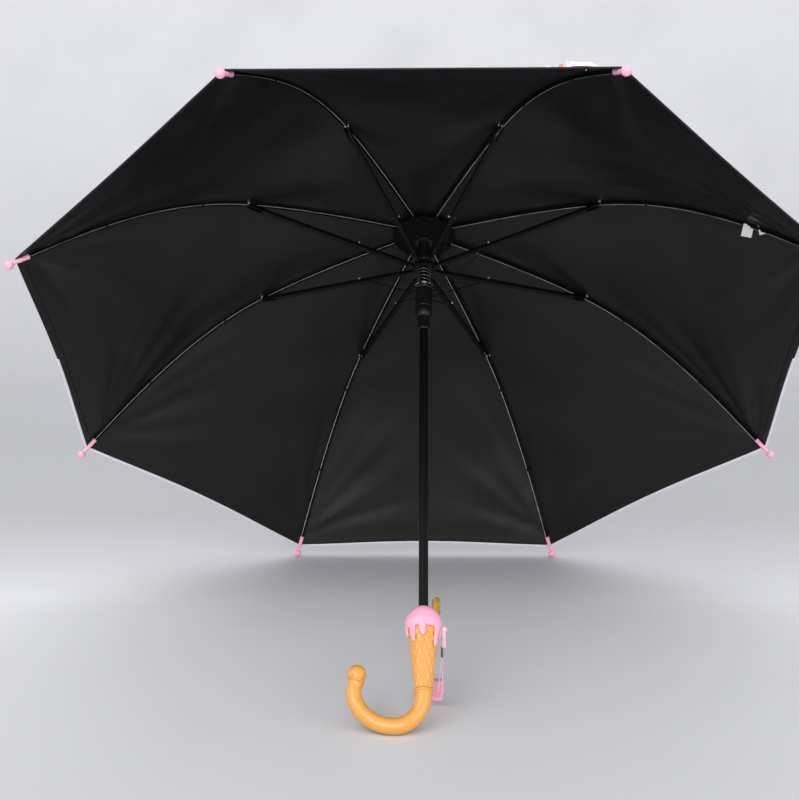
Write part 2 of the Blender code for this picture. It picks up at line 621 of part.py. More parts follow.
def smooth_route(route, spacing):
    """Evenly spaced points on one smooth curve through the route's own points."""
    points = [Vector(place) for place in route]
    dense = []
    for i in range(len(points) - 1):
        before = points[max(i - 1, 0)]
        after = points[min(i + 2, len(points) - 1)]
        first = points[i] + (points[i + 1] - before) / 6
        second = points[i + 1] - (after - points[i]) / 6
        dense += interpolate_bezier(points[i], first, second, points[i + 1], 20)[:-1]
    dense.append(points[-1])
    length = sum((b - a).length for a, b in zip(dense, dense[1:]))
    count = round(length / spacing)
    result = [dense[0]]
    travelled, target = 0.0, length / count
    for a, b in zip(dense, dense[1:]):
        step = (b - a).length
        while travelled + step >= target and len(result) < count:
            result.append(a.lerp(b, (target - travelled) / step))
            target += length / count
        travelled += step
    return result + [dense[-1]]


def make_lanyard(hinge):
    """A tape looped over the peg, a crimp, and a thin cord that carries the whistle."""
    hole = PEG_RADIUS + CLEARANCE
    around = hole + TAPE_THICKNESS
    outer = arc((0, 0), around, math.radians(-20), math.radians(200), 13)
    outer += [(-TAPE_THICKNESS, -TAPE_LENGTH), (TAPE_THICKNESS, -TAPE_LENGTH)]
    inner = arc((0, 0), hole, 0, math.tau, 17)[:-1]
    tape = add_object("lanyard_tape", flat_outline("lanyard_tape", [outer, inner], TAPE_WIDTH, "pink_textile"), None,
                      hinge)
    tape.rotation_euler = (math.pi / 2, 0, math.pi / 2)
    crimp = box("lanyard_crimp", CRIMP_SIZE, "dark_metal", hinge)
    crimp.location = (CRIMP_SHIFT, 0, -TAPE_LENGTH - CLEARANCE - CRIMP_SIZE.z / 2)
    edge = crimp.modifiers.new("Edges", "BEVEL")
    edge.width = CRIMP_EDGE
    edge.segments = 1
    route = [Vector(place) * 0.001 for place in CORD_ROUTE]
    points = smooth_route(route, 5 * CORD_RADIUS)
    add_object("lanyard_cord", tube("lanyard_cord", points, CORD_RADIUS, "pink_textile"), None, hinge)
    make_whistle(hinge)


def make_whistle(hinge):
    half = WHISTLE_HEIGHT / 2
    rim = WHISTLE_RADIUS * WHISTLE_RIM
    outline = [(0, half), (rim, half), (WHISTLE_RADIUS, half - WHISTLE_EDGE), (WHISTLE_RADIUS, WHISTLE_EDGE - half),
               (rim, -half), (0, -half)]
    whistle = turned("whistle", outline, "pink_plastic", hinge, steps=24)
    whistle.location = WHISTLE_CENTRE
    head = WHISTLE_PEG + WHISTLE_PEG_HEAD
    back = WHISTLE_PEG_REACH - WHISTLE_PEG_HEAD_THICKNESS
    stud_outline = [(0, WHISTLE_PEG_REACH), (head, WHISTLE_PEG_REACH), (head, back), (WHISTLE_PEG, back),
                    (WHISTLE_PEG, WHISTLE_PEG_ROOT), (0, WHISTLE_PEG_ROOT)]
    stud = turned("whistle_stud", stud_outline, "pink_plastic", hinge, steps=12, collection=cutters)
    stud.location = WHISTLE_CENTRE + WHISTLE_PEG_PLACE
    stud.rotation_euler = (math.pi / 2, 0, 0)
    boolean(whistle, stud, "UNION")
    window = box("whistle_window", WINDOW_SIZE, None, hinge, cutters)
    window.location = WHISTLE_CENTRE + Vector((0, WHISTLE_RADIUS, WINDOW_RISE))
    boolean(whistle, window, "DIFFERENCE")


def lie_down(frame, hook_bottom):
    """Leans the umbrella until the hook and the two far tip balls share a floor, then stands it on z = 0."""
    far = BALL.x * math.cos(HALF_STEP)
    rise = BALL.z - hook_bottom
    middle = HOOK_TUBE + (HOOK_TIP_TUBE - HOOK_TUBE) / 2
    lean = math.atan2(rise, far) + math.asin((middle - BALL_RADIUS) / math.hypot(far, rise))
    frame.rotation_euler = (-lean, 0, 0)
    return lean


def centre_on_floor(frame):
    bpy.context.view_layer.update()
    graph = bpy.context.evaluated_depsgraph_get()
    points = []
    for item in umbrella_parts.objects:
        if item.type == "EMPTY":
            continue
        solid = item.evaluated_get(graph)
        mesh = solid.to_mesh()
        points += [item.matrix_world @ vert.co for vert in mesh.vertices]
        solid.to_mesh_clear()
    nearest, farthest = min(p.y for p in points), max(p.y for p in points)
    frame.location = (0, -(nearest + farthest) / 2, -min(p.z for p in points))
    bpy.context.view_layer.update()


clear_scene()
umbrella_parts = new_collection("childrens_umbrella")
cutters = new_collection("cutters")
umbrella = empty("umbrella_frame", None)
make_shaft(umbrella)
make_notch(umbrella)
make_hub_patch(umbrella)
make_ferrule(umbrella)
make_cone(umbrella)
make_cap(umbrella)
make_button(umbrella)
lowest_bend = make_hook(umbrella)
lean_angle = lie_down(umbrella, lowest_bend)

wire_path = [Vector((0, 0, 0)), (WIRE_END - WIRE_PLACE) * 0.5, WIRE_END - WIRE_PLACE]
shared_shapes = {
    "rib": flat_outline("rib", [rib_outline()], RIB_WIDTH, "black_steel"),
    "stretcher": flat_outline("stretcher", [stretcher_outline()], STRETCHER_HEIGHT, "black_steel"),
    "wire": tube("wire", wire_path, WIRE_RADIUS, "black_steel"),
    "panel": make_gore_mesh(),
}
first_stretcher = make_rib_set(umbrella, 1, shared_shapes)
for rib_number in range(2, RIB_COUNT + 1):
    make_rib_set(umbrella, rib_number, shared_shapes)

collar_hinge = empty("collar_hinge", first_stretcher, COLLAR_HINGE - PIVOT)
collar_frame = empty("collar_frame", collar_hinge, -COLLAR_HINGE, (0, 0, -FIRST_RIB))
make_collar(collar_frame)
make_opening_spring(collar_frame)
runner_slide = empty("runner_slide", collar_frame)
make_runner(runner_slide)

lanyard_hinge = empty("lanyard_hinge", umbrella, (PEG_REACH, 0, CAP_CENTRE - PEG_DROP), (lean_angle, 0, 0))
make_lanyard(lanyard_hinge)
centre_on_floor(umbrella)
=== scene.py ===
"""The looks of a child's stick umbrella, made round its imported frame.

A piece is shaped in the umbrella's own frame, where Z runs up the shaft and z = 0 is the crown of the
fabric, or in one rib's frame, where X also points outwards along that rib. It is then put in the row frame
and rides on its body.
"""

import functools
import json
import math
import random

import bmesh
import bpy
from mathutils import Matrix, Vector
from mathutils.geometry import interpolate_bezier


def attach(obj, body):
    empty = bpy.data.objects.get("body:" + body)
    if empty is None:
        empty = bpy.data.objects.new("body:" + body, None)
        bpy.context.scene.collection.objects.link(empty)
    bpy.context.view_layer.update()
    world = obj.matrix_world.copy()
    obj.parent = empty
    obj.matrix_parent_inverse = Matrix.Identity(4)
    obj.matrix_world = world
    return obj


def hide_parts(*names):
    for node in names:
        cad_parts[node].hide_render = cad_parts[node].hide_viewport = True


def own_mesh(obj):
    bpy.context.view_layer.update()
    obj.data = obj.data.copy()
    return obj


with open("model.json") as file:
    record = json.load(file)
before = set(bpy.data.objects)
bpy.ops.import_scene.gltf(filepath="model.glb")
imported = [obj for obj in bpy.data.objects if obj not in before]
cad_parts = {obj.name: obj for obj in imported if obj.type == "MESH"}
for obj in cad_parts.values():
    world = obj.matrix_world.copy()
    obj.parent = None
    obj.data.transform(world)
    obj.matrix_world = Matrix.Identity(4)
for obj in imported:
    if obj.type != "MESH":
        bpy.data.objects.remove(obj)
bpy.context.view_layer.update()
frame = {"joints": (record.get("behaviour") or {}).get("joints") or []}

# ---------------------------------------------------------------- sizes, metres

RIB_COUNT = 8
NUMBERS = range(1, RIB_COUNT + 1)
RIB_STEP = math.tau / RIB_COUNT
HALF_STEP = RIB_STEP / 2
CLEARANCE = 0.0003

INNER_RIB = 0.1966
OUTER_RIB = 0.2790
RIB_START = Vector((0.0094, 0.0, -0.0038))
RIB_HINGE_HEIGHT = -0.0118
CROWN_SLOPE = math.radians(5.8)
PIVOT_SLOPE = math.radians(15.2)
TIP_SLOPE = math.radians(46.1)
RIB_WIDTH = 0.0032
RIB_HEIGHT = 0.0026
CHANNEL_WALL = 0.0005
TIP_LENGTH = 0.0225
TIP_START = INNER_RIB + OUTER_RIB - TIP_LENGTH
BALL_RADIUS = 0.0045
TIP_SOCKET = 0.0024
TIP_NECK = 0.0019
TIP_COVER = 0.0115                                      # how far the fabric reaches past the socket's mouth
TIP_RAMP = 0.0180                                       # ahead of the mouth, where the fabric starts to rise
TIP_RAMP_RISE = 0.0150
TIE_PLACES = (INNER_RIB + 0.052, INNER_RIB + 0.165)     # where thread holds the fabric to the rib

STRETCHER_WIDTH = 0.0042
STRETCHER_HEIGHT = 0.0034
STRETCHER_DROP = 0.0022
EAR_THICKNESS = 0.0009
FORK_DEPTH = 0.0180
WIRE_RADIUS = 0.0006
WIRE_SIDE = STRETCHER_WIDTH / 2 + CLEARANCE + WIRE_RADIUS
WIRE_RUNNER_DROP = 0.0350
WIRE_END_RADIUS = 0.0128

FABRIC = 0.0005
OVER_RIB = RIB_HEIGHT / 2 + 0.0008 + 0.0004             # rib's middle line to the fabric's
OVER_TIP = TIP_SOCKET + CLEARANCE + 0.0004
CROWN_HOLE = 0.0070
PANEL_SAG = 0.0060
HEM_BOW = 0.0050                                        # how far the hem draws in between two tips
SWELL = 0.0016
PUCKER = 0.00022
PUCKER_LENGTH = 0.0105
SEAM_HALF_WIDTH = 0.0024
FRILL_START = 0.0104
FRILL_RADIUS = 0.0340

SHAFT_RADIUS = 0.0045
COLLAR_RISE = 0.0085
COLLAR_FALL = 0.0035
SLEEVE_RADIUS = 0.0062
SHAFT_TOP = 0.0100
SHAFT_BOTTOM = -0.5176
RUNNER_TOP = -0.0855
SPRING_OUTER = 0.0080
SPRING_WIRE = 0.0009
SPRING_TURNS = 5.5

CAP_RADIUS = 0.0171
CAP_CENTRE = -0.4889125
SKIRT_THICKNESS = 0.0019
SKIRT_PLAIN = 0.0078
DRIP_HALF_ANGLE = math.radians(9.2)
DRIPS = ((8, 0.0150), (48, 0.0210), (90, 0.0140), (132, 0.0190), (186, 0.0150), (229, 0.0217), (268, 0.0169),
         (325,
          0.0257))                                 # (degrees round the cap, depth below its widest line)
CONE_TOP_RADIUS = 0.0151
CONE_BOTTOM_RADIUS = 0.0080
CONE_BOTTOM = CAP_CENTRE - 0.0644
CONE_SEAT = CAP_CENTRE - 0.0020
WAFFLE_TURNS = 10
WAFFLE_RISE = 72.0
WAFFLE_DEPTH = 0.00060
HOOK_TUBE = 0.0077
HOOK_TIP_TUBE = 0.0069
HOOK_RING_RADIUS = 0.0088
HOOK_RING_HEIGHT = 0.0050
HOOK_LOW_REACH = 0.0253                                 # shaft axis to the hook's lowest point
HOOK_DEPTH = 0.0288
HOOK_REACH = 0.0619
HOOK_RISE = 0.0333
HOOK_BALL = 0.0087
HOOK_BALL_REACH = 0.0595
HOOK_BALL_RISE = 0.0482
BUTTON_TOP = -0.4609
BUTTON_HEIGHT = 0.0180
BUTTON_REACH = 0.0126
BUTTON_ANGLE = math.radians(22.5)

PEG_REACH = 0.0188
PEG_RADIUS = 0.0016
TAPE_WIDTH = 0.0032
TAPE_LENGTH = 0.0170
CORD_DIAMETER = 0.0011
CORD_ROUTE = ((-2.3, 0.0, -27.0), (-2.9, -1.0, -33.0), (-4.0, -3.4, -42.0), (-5.2, -6.1, -51.0),
              (-5.6, -7.0, -56.0), (-5.1, -7.6, -59.4), (-3.45, -7.7, -60.8), (-1.8, -7.5, -59.4),
              (-1.3, -6.6, -56.0), (-1.3, -5.0, -50.0), (-1.3, -2.8, -41.0), (-1.3, -1.0, -33.0),
              (-1.3, 0.0, -27.0))                       # millimetres, from the peg
WHISTLE_CENTRE = Vector((-0.0060, 0.0004, -0.0577))
WHISTLE_RADIUS = 0.0052
WHISTLE_HEIGHT = 0.0194

# ---------------------------------------------------------------- places, from the frame

JOINTS = {joint["name"]: joint for joint in frame["joints"]}
UPRIGHT = Matrix.Rotation(math.pi / 2, 4, "X")


def shift(x, y, z):
    return Matrix.Translation((x, y, z))


def axes(x, y, z):
    """The turn whose own X, Y and Z lie along three vectors."""
    return Matrix((x, y, z)).transposed().to_4x4()


def joint_place(name):
    return Vector(JOINTS[name]["pos_m"])


up = Vector(JOINTS["runner_travel"]["axis"]).normalized()
across_shaft = Vector((1, 0, 0))
hinge_middle = sum((joint_place(f"rib_{k}_fold") for k in NUMBERS), Vector()) / RIB_COUNT
UMBRELLA = (Matrix.Translation(hinge_middle - up * RIB_HINGE_HEIGHT)
            @ axes(across_shaft, up.cross(across_shaft), up))


def spoke(number):
    """The frame of one rib, counted anticlockwise from the right-hand near one."""
    return UMBRELLA @ Matrix.Rotation(HALF_STEP + RIB_STEP * (number - 1), 4, "Z")


def in_spoke(name):
    return spoke(1).inverted() @ joint_place(name)


RIB_HINGE = in_spoke("rib_1_fold")
PIVOT = in_spoke("stretcher_1_pivot")
COLLAR_HINGE = in_spoke("collar_pivot")
WIRE_PLACE = in_spoke("wire_1_pivot")
WIRE_END = Vector((WIRE_END_RADIUS, 0, COLLAR_HINGE.z - WIRE_RUNNER_DROP))
STRETCHER_LENGTH = (PIVOT - COLLAR_HINGE).length
WIRE_PIN = (WIRE_PLACE - COLLAR_HINGE).length
STRETCHER_TURN = Matrix.Rotation(-math.atan2(PIVOT.z - COLLAR_HINGE.z, PIVOT.x - COLLAR_HINGE.x), 4, "Y")
STRETCHER = Matrix.Translation(COLLAR_HINGE) @ STRETCHER_TURN
PEG = joint_place("lanyard_swing")
LANYARD = Matrix.Translation(PEG)

# ---------------------------------------------------------------- camera

CAMERA_PLACE = Vector((0.0034, -1.3717, 0.4762))
CAMERA_YAW = math.radians(-1.205)
CAMERA_PITCH = math.radians(-9.35)
CAMERA_ROLL = math.radians(-0.23)
CAMERA_LENS = 59.61


def make_camera():
    ahead = Vector((math.sin(CAMERA_YAW) * math.cos(CAMERA_PITCH),
                    math.cos(CAMERA_YAW) * math.cos(CAMERA_PITCH),
                    math.sin(CAMERA_PITCH)))
    level = ahead.cross(Vector((0, 0, 1))).normalized()
    right = level * math.cos(CAMERA_ROLL) + level.cross(ahead) * math.sin(CAMERA_ROLL)
    data = bpy.data.cameras.new("camera")
    data.lens = CAMERA_LENS
    data.sensor_width = 36
    item = bpy.data.objects.new("camera", data)
    bpy.context.scene.collection.objects.link(item)
    item.matrix_world = (Matrix.Translation(CAMERA_PLACE)
                         @ axes(right, right.cross(ahead), -ahead))
    bpy.context.scene.camera = item


# ---------------------------------------------------------------- finishes


class Channel:
    """One output inside a finish. Arithmetic on numbers adds Math nodes."""

    def __init__(self, finish, socket):
        self.finish = finish
        self.socket = socket

    def math(self, operation, *terms):
        return self.finish.node("ShaderNodeMath", {"operation": operation}, dict(enumerate(terms)))

    def __add__(self, other):
        return self.math("ADD", self, other)

    def __sub__(self, other):
        return self.math("SUBTRACT", self, other)

    def __rsub__(self, other):
        return self.math("SUBTRACT", other, self)

    def __mul__(self, other):
        return self.math("MULTIPLY", self, other)

    def __gt__(self, other):
        return self.math("GREATER_THAN", self, other)

    def __lt__(self, other):
        return self.math("LESS_THAN", self, other)

    __radd__ = __add__
    __rmul__ = __mul__

    def sine(self):
        return self.math("SINE", self)


class Finish:
    """A Principled material and the nodes that feed it."""

    def __init__(self, name, colour, roughness, **sockets):
        self.material = bpy.data.materials.new(name)
        self.material.use_nodes = True
        self.tree = self.material.node_tree
        self.shader = self.tree.nodes["Principled BSDF"]
        self.set(Base_Color=colour, Roughness=roughness, **sockets)

    def feed(self, socket, value):
        if isinstance(value, Channel):
            self.tree.links.new(value.socket, socket)
        elif hasattr(value, "__len__") and len(value) == 3 and socket.type == "RGBA":
            socket.default_value = (*value, 1.0)
        else:
            socket.default_value = value

    def set(self, **sockets):
        for name, value in sockets.items():
            self.feed(self.shader.inputs[name.replace("_", " ")], value)
        return self

    def node(self, kind, settings=None, inputs=None, output=0):
        made = self.tree.nodes.new(kind)
        for name, value in (settings or {}).items():
            if name == "stops":
                for stop, (place, colour) in zip(self.ramp_stops(made, len(value)), value):
                    stop.position = place
                    stop.color = (*colour, 1.0)
            else:
                setattr(made, name, value)
        for key, value in (inputs or {}).items():
            self.feed(made.inputs[key], value)
        return Channel(self, made.outputs[output])

    @staticmethod
    def ramp_stops(made, count):
        stops = made.color_ramp.elements
        while len(stops) < count:
            stops.new(0.5)
        return stops

    def place(self, source="Object", scale=(1, 1, 1), turn=(0, 0, 0)):
        where = self.node("ShaderNodeTexCoord", output=source)
        return self.node("ShaderNodeMapping", None, {"Vector": where, "Scale": scale, "Rotation": turn})

    def noise(self, scale, detail=3.0, where=None, roughness=0.5):
        inputs = {"Vector": where or self.place(), "Scale": scale, "Detail": detail, "Roughness": roughness}
        return self.node("ShaderNodeTexNoise", None, inputs)

    def cells(self, scale, where=None, output="Distance", feature="F1"):
        inputs = {"Vector": where or self.place(), "Scale": scale}
        return self.node("ShaderNodeTexVoronoi", {"feature": feature}, inputs, output)

    def part(self, vector, axis):
        return self.node("ShaderNodeSeparateXYZ", None, {0: vector}, axis)

    def mix(self, share, first, second):
        return self.node("ShaderNodeMix", {"data_type": "RGBA"}, {0: share, 6: first, 7: second}, 2)

    def ramp(self, share, stops):
        return self.node("ShaderNodeValToRGB", {"stops": stops}, {0: share})

    def range(self, value, low, high, new_low=0.0, new_high=1.0):
        return self.node("ShaderNodeMapRange", None, {0: value, 1: low, 2: high, 3: new_low, 4: new_high})

    def bump(self, height, distance, strength=1.0):
        inputs = {"Height": height, "Distance": distance, "Strength": strength}
        self.set(Normal=self.node("ShaderNodeBump", None, inputs))
        return self


def lining_fabric():
    """Black coated lining: satin, with a fine weave and faint rubbed patches."""
    finish = Finish("black_lining", (0.0060, 0.0060, 0.0065), 0.40, Specular_IOR_Level=0.30)
    patches = finish.noise(9.0, 4.0)
    finish.set(Base_Color=finish.mix(patches, (0.0045, 0.0045, 0.0049), (0.0075, 0.0075, 0.0080)))
    finish.set(Roughness=finish.range(patches, 0.3, 0.7, 0.34, 0.46))
    wrinkles = finish.noise(16.0, 2.0, finish.place(scale=(1.0, 0.35, 0.6), turn=(0.5, 0.3, 0.7)), 0.45)
    weave = finish.noise(2600.0, 1.0) * 0.012 + finish.noise(160.0, 3.0) * 0.02
    return finish.bump(wrinkles + weave, 0.0060, 0.55).material


def printed_fabric(name="printed_fabric", plain=(0.80, 0.76, 0.90)):
    """Pale outer cloth scattered with coloured sugar strands, with a pink band by the hem."""
    finish = Finish(name, plain, 0.62, Sheen_Weight=0.15)
    colours = (((0.90, 0.10, 0.12), 0.0), ((0.98, 0.45, 0.08), 0.2), ((0.98, 0.82, 0.16), 0.4),
               ((0.16, 0.62, 0.30), 0.6), ((0.14, 0.42, 0.85), 0.8), ((0.93, 0.30, 0.58), 1.0))
    cloth = finish.mix(finish.noise(5.0, 2.0), plain, tuple(min(1.0, c * 1.08) for c in plain))
    for scale, size, shift in ((34.0, 0.20, 0.0), (58.0, 0.17, 1.3)):
        where = finish.place(scale=(1.0, 0.55 + 0.25 * shift, 1.0), turn=(shift, 0.7 + shift, 0.4))
        strand = finish.cells(scale, where) < size
        random_colour = finish.cells(scale, where, "Color")
        shade = finish.ramp(finish.part(random_colour, 0), [(place, colour) for colour, place in colours])
        cloth = finish.mix(strand, cloth, shade)
    band = finish.part(finish.place("UV"), 1) > 0.955
    finish.set(Base_Color=finish.mix(band, cloth, (0.90, 0.36, 0.60)))
    weave = finish.noise(2600.0, 1.0) + finish.noise(120.0, 3.0)
    return finish.bump(weave, 0.00010, 0.4).material


def painted_steel():
    finish = Finish("painted_steel", (0.0030, 0.0030, 0.0032), 0.42, Specular_IOR_Level=0.14)
    finish.set(Roughness=finish.range(finish.noise(300.0, 4.0), 0.3, 0.7, 0.36, 0.48))
    return finish.bump(finish.noise(900.0, 2.0), 0.00003, 0.3).material


def painted_lip_highlight():
    """The rolled lip of a rib channel, light grey as a painted highlight for the light it catches."""
    finish = Finish("lip_painted_highlight", (0.50, 0.50, 0.51), 0.32, Metallic=0.5)
    # Noise that breaks up the painted highlight along the lip.
    highlight_breaks = finish.noise(60.0, 4.0)
    finish.set(Base_Color=finish.ramp(highlight_breaks, [(0.30, (0.30, 0.30, 0.30)), (0.50, (0.62, 0.62, 0.63))]))
    return finish.bump(finish.noise(1200.0, 2.0), 0.00002, 0.4).material


def moulded_black():
    finish = Finish("moulded_black", (0.0045, 0.0045, 0.0050), 0.36, Specular_IOR_Level=0.40)
    finish.set(Roughness=finish.range(finish.noise(90.0, 4.0), 0.3, 0.7, 0.34, 0.48))
    return finish.bump(finish.noise(1500.0, 2.0), 0.00003, 0.4).material


def metal(name, dark, light, roughness, scale=400.0):
    finish = Finish(name, light, roughness, Metallic=1.0)
    finish.set(Base_Color=finish.mix(finish.noise(scale, 3.0), dark, light))
    finish.set(Roughness=finish.range(finish.noise(scale * 2.0), 0.3, 0.7, roughness * 0.8,
                                      roughness * 1.25))
    return finish.bump(finish.noise(scale * 3.0), 0.00002, 0.3).material


def pink_moulding():
    """Glossy bubblegum plastic with the softness of a thick moulding."""
    finish = Finish("bubblegum_moulding", (0.92, 0.41, 0.56), 0.26, Subsurface_Weight=0.12,
                    Subsurface_Scale=0.004,
                    Coat_Weight=0.25, Coat_Roughness=0.12)
    flow = finish.noise(45.0, 3.0)
    finish.set(Base_Color=finish.mix(flow, (0.91, 0.395, 0.545), (0.93, 0.43, 0.58)))
    finish.set(Roughness=finish.range(flow, 0.3, 0.7, 0.18, 0.28))
    return finish.bump(finish.noise(220.0, 2.0), 0.00006, 0.35).material


def wafer_moulding():
    """Glossy amber plastic, a little darker where the mould left it thin."""
    finish = Finish("amber_moulding", (0.84, 0.38, 0.06), 0.26, Subsurface_Weight=0.10,
                    Subsurface_Scale=0.004,
                    Coat_Weight=0.5, Coat_Roughness=0.08)
    flow = finish.noise(38.0, 4.0)
    finish.set(Base_Color=finish.mix(flow, (0.72, 0.305, 0.045), (0.78, 0.36, 0.070)))
    finish.set(Roughness=finish.range(flow, 0.3, 0.7, 0.17, 0.27))
    return finish.bump(finish.noise(260.0, 2.0), 0.00005, 0.35).material


def woven_textile(name, low, high, threads, sheen=0.2):
    finish = Finish(name, high, 0.80, Sheen_Weight=sheen, Specular_IOR_Level=0.1 + sheen)
    weave = (finish.part(finish.place(), 2) * threads).sine() * (finish.part(finish.place(),
                                                                             1) * threads).sine()
    finish.set(Base_Color=finish.mix(finish.range(weave, -1.0, 1.0), low, high))
    return finish.bump(weave + finish.noise(threads), 0.00010, 0.6).material


def studio_floor():
    """Pale floor that runs up into the wall, with painted light in its colour: paler under the umbrella, where
    it lifts the umbrella's shadow, darker in a band behind it, and paler high on the wall.
    """
    finish = Finish("studio_floor", (0.60, 0.60, 0.63), 0.6, Specular_IOR_Level=0.3)
    along = finish.part(finish.place(), 1) + finish.part(finish.place(), 2)
    # Painted light: a ramp along y + z that lifts the floor under the umbrella against its shadow, darkens the
    # band behind it and brightens the wall high up.
    painted_light_shades = ((-0.5, 0.53), (0.10, 0.74), (0.28, 0.57), (0.50, 0.49), (1.0, 0.49), (2.5, 0.62), (3.4, 0.78))
    stops = [((reach + 0.6) / 4.2, (shade, shade, shade * 1.02)) for reach, shade in painted_light_shades]
    floor_with_painted_light = finish.ramp(finish.range(along, -0.6, 3.6), stops)
    marks = finish.noise(3.0, 6.0)
    finish.set(Base_Color=finish.mix(finish.range(marks, 0.5, 0.8, 0.0, 0.25), floor_with_painted_light, (0.50, 0.50, 0.52)))
    return finish.bump(finish.noise(40.0, 4.0), 0.001, 0.08).material


LINING = lining_fabric()
PRINT = printed_fabric()
PRINT_EDGE = printed_fabric("printed_edge", (0.88, 0.86, 0.94))
STEEL = painted_steel()
# The painted highlight that lies along one lip of each rib.
LIP_HIGHLIGHT = painted_lip_highlight()
PLASTIC = moulded_black()
SPRING = metal("spring_steel", (0.05, 0.05, 0.055), (0.16, 0.16, 0.17), 0.26)
RIVET = metal("bright_rivet", (0.84, 0.82, 0.76), (0.96, 0.95, 0.90), 0.36)
GOLD = metal("gold_facets", (0.24, 0.12, 0.01), (0.72, 0.46, 0.09), 0.10, 90.0)
CRIMP = metal("dark_crimp", (0.10, 0.09, 0.10), (0.22, 0.20, 0.21), 0.34)
PINK = pink_moulding()
WAFER = wafer_moulding()
RIBBON = woven_textile("pink_ribbon", (0.88, 0.48, 0.60), (0.96, 0.66, 0.74), 9000.0)
TWINE = woven_textile("pink_twine", (0.86, 0.42, 0.58), (0.96, 0.62, 0.74), 14000.0)
DARK_CLOTH = woven_textile("black_gathers", (0.002, 0.002, 0.002), (0.005, 0.005, 0.005), 15000.0, 0.0)
THREAD = woven_textile("black_thread", (0.004, 0.004, 0.004), (0.009, 0.009, 0.009), 20000.0, 0.0)
PALE_HEM = woven_textile("pale_hem", (0.72, 0.70, 0.80), (0.90, 0.88, 0.95), 12000.0)
LABEL = woven_textile("white_label", (0.72, 0.72, 0.72), (0.88, 0.88, 0.88), 9000.0)

# ---------------------------------------------------------------- shaping


def piece(name, shape, body, finishes, node=None, place=None, smooth=40):
    """Puts a finished shape in the row frame as one object that rides on its body."""
    if place is not None:
        bmesh.ops.transform(shape, matrix=place, verts=shape.verts)
    mesh = bpy.data.meshes.new(name)
    shape.to_mesh(mesh)
    shape.free()
    for finish in finishes:
        mesh.materials.append(finish)
    mesh.shade_smooth()
    mesh.set_sharp_from_angle(angle=math.radians(smooth))
    item = bpy.data.objects.new(name, mesh)
    bpy.context.scene.collection.objects.link(item)
    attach(item, body)
    if node:
        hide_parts(node)
    return item


def painted(shape, index):
    for face in shape.faces:
        face.material_index = index
    return shape


def moved(shape, matrix):
    bmesh.ops.transform(shape, matrix=matrix, verts=shape.verts)
    return shape


def joined(*shapes):
    """Several shapes as one, each still its own shell."""
    whole = bmesh.new()
    for shape in shapes:
        carrier = bpy.data.meshes.new("carrier")
        shape.to_mesh(carrier)
        shape.free()
        whole.from_mesh(carrier)
        bpy.data.meshes.remove(carrier)
    return whole


def rounded(outline, radius, closed=False, steps=3):
    """The outline with its corners turned into short curves."""
    points = [Vector(point) for point in outline]
    result = []
    for index, corner in enumerate(points):
        if not closed and index in (0, len(points) - 1):
            result.append(tuple(corner))
            continue
        before = points[index - 1] - corner
        after = points[(index + 1) % len(points)] - corner
        start = corner + before.normalized() * min(radius, before.length * 0.45)
        end = corner + after.normalized() * min(radius, after.length * 0.45)
        for i in range(steps + 1):
            share = i / steps
            result.append(tuple(start * (1 - share) ** 2 + corner * 2 * share * (1 - share) + end * share ** 2))
    return result


def lathe(outline, steps=64, ring=False):
    """Turns (radius, z) points round Z. A ring's outline closes on itself, and any other starts and ends at
    the axis."""
    shape = bmesh.new()
    points = [shape.verts.new((radius, 0, z)) for radius, z in outline]
    pairs = list(zip(points, points[1:])) + ([(points[-1], points[0])] if ring else [])
    edges = [shape.edges.new(pair) for pair in pairs]
    bmesh.ops.spin(shape, geom=points + edges, axis=(0, 0, 1), cent=(0, 0, 0), steps=steps, angle=math.tau,
                   use_merge=True)
    bmesh.ops.remove_doubles(shape, verts=shape.verts, dist=1e-6)
    bmesh.ops.recalc_face_normals(shape, faces=shape.faces)
    return shape


def circle(radius, count):
    return [(radius * math.cos(math.tau * i / count),
             radius * math.sin(math.tau * i / count)) for i in range(count)]


def sweep(section, stations, looped=False):
    """Carries a closed section along the stations, and caps both ends unless the way is a loop."""
    shape = bmesh.new()
    ring = [shape.verts.new(stations[0] @ Vector((x, y, 0))) for x, y in section]
    edges = [shape.edges.new(pair) for pair in zip(ring, ring[1:] + ring[:1])]
    first = edges
    for before, after in zip(stations, stations[1:]):
        made = bmesh.ops.extrude_edge_only(shape, edges=edges)["geom"]
        fresh = {item for item in made if isinstance(item, bmesh.types.BMVert)}
        edges = [item for item in made if isinstance(item,
                                                     bmesh.types.BMEdge) and fresh.issuperset(item.verts)]
        bmesh.ops.transform(shape, matrix=after @ before.inverted(), verts=list(fresh))
    if looped:
        bmesh.ops.bridge_loops(shape, edges=first + edges)
    else:
        bmesh.ops.contextual_create(shape, geom=first)
        bmesh.ops.contextual_create(shape, geom=edges)
    bmesh.ops.recalc_face_normals(shape, faces=shape.faces)
    return shape


def stations_along(points, radii=None, twist=0.0):
    """Stations on a path. Each turns as little as it can from the last one, plus any twist in radians a
    step."""
    points = [Vector(point) for point in points]
    turn = (points[1] - points[0]).to_track_quat("Z", "Y")
    stations = []
    for index, point in enumerate(points):
        ahead = points[min(index + 1, len(points) - 1)] - points[max(index - 1, 0)]
        turn = (turn @ Vector((0, 0, 1))).rotation_difference(ahead) @ turn
        size = radii[index] if radii else 1.0
        spin = turn.to_matrix().to_4x4() @ Matrix.Rotation(twist * index, 4, "Z")
        stations.append(Matrix.Translation(point) @ spin @ Matrix.Diagonal((size, size, 1, 1)))
    return stations


def tube(points, radius, sides=12, radii=None):
    return sweep(circle(radius, sides), stations_along(points, radii))


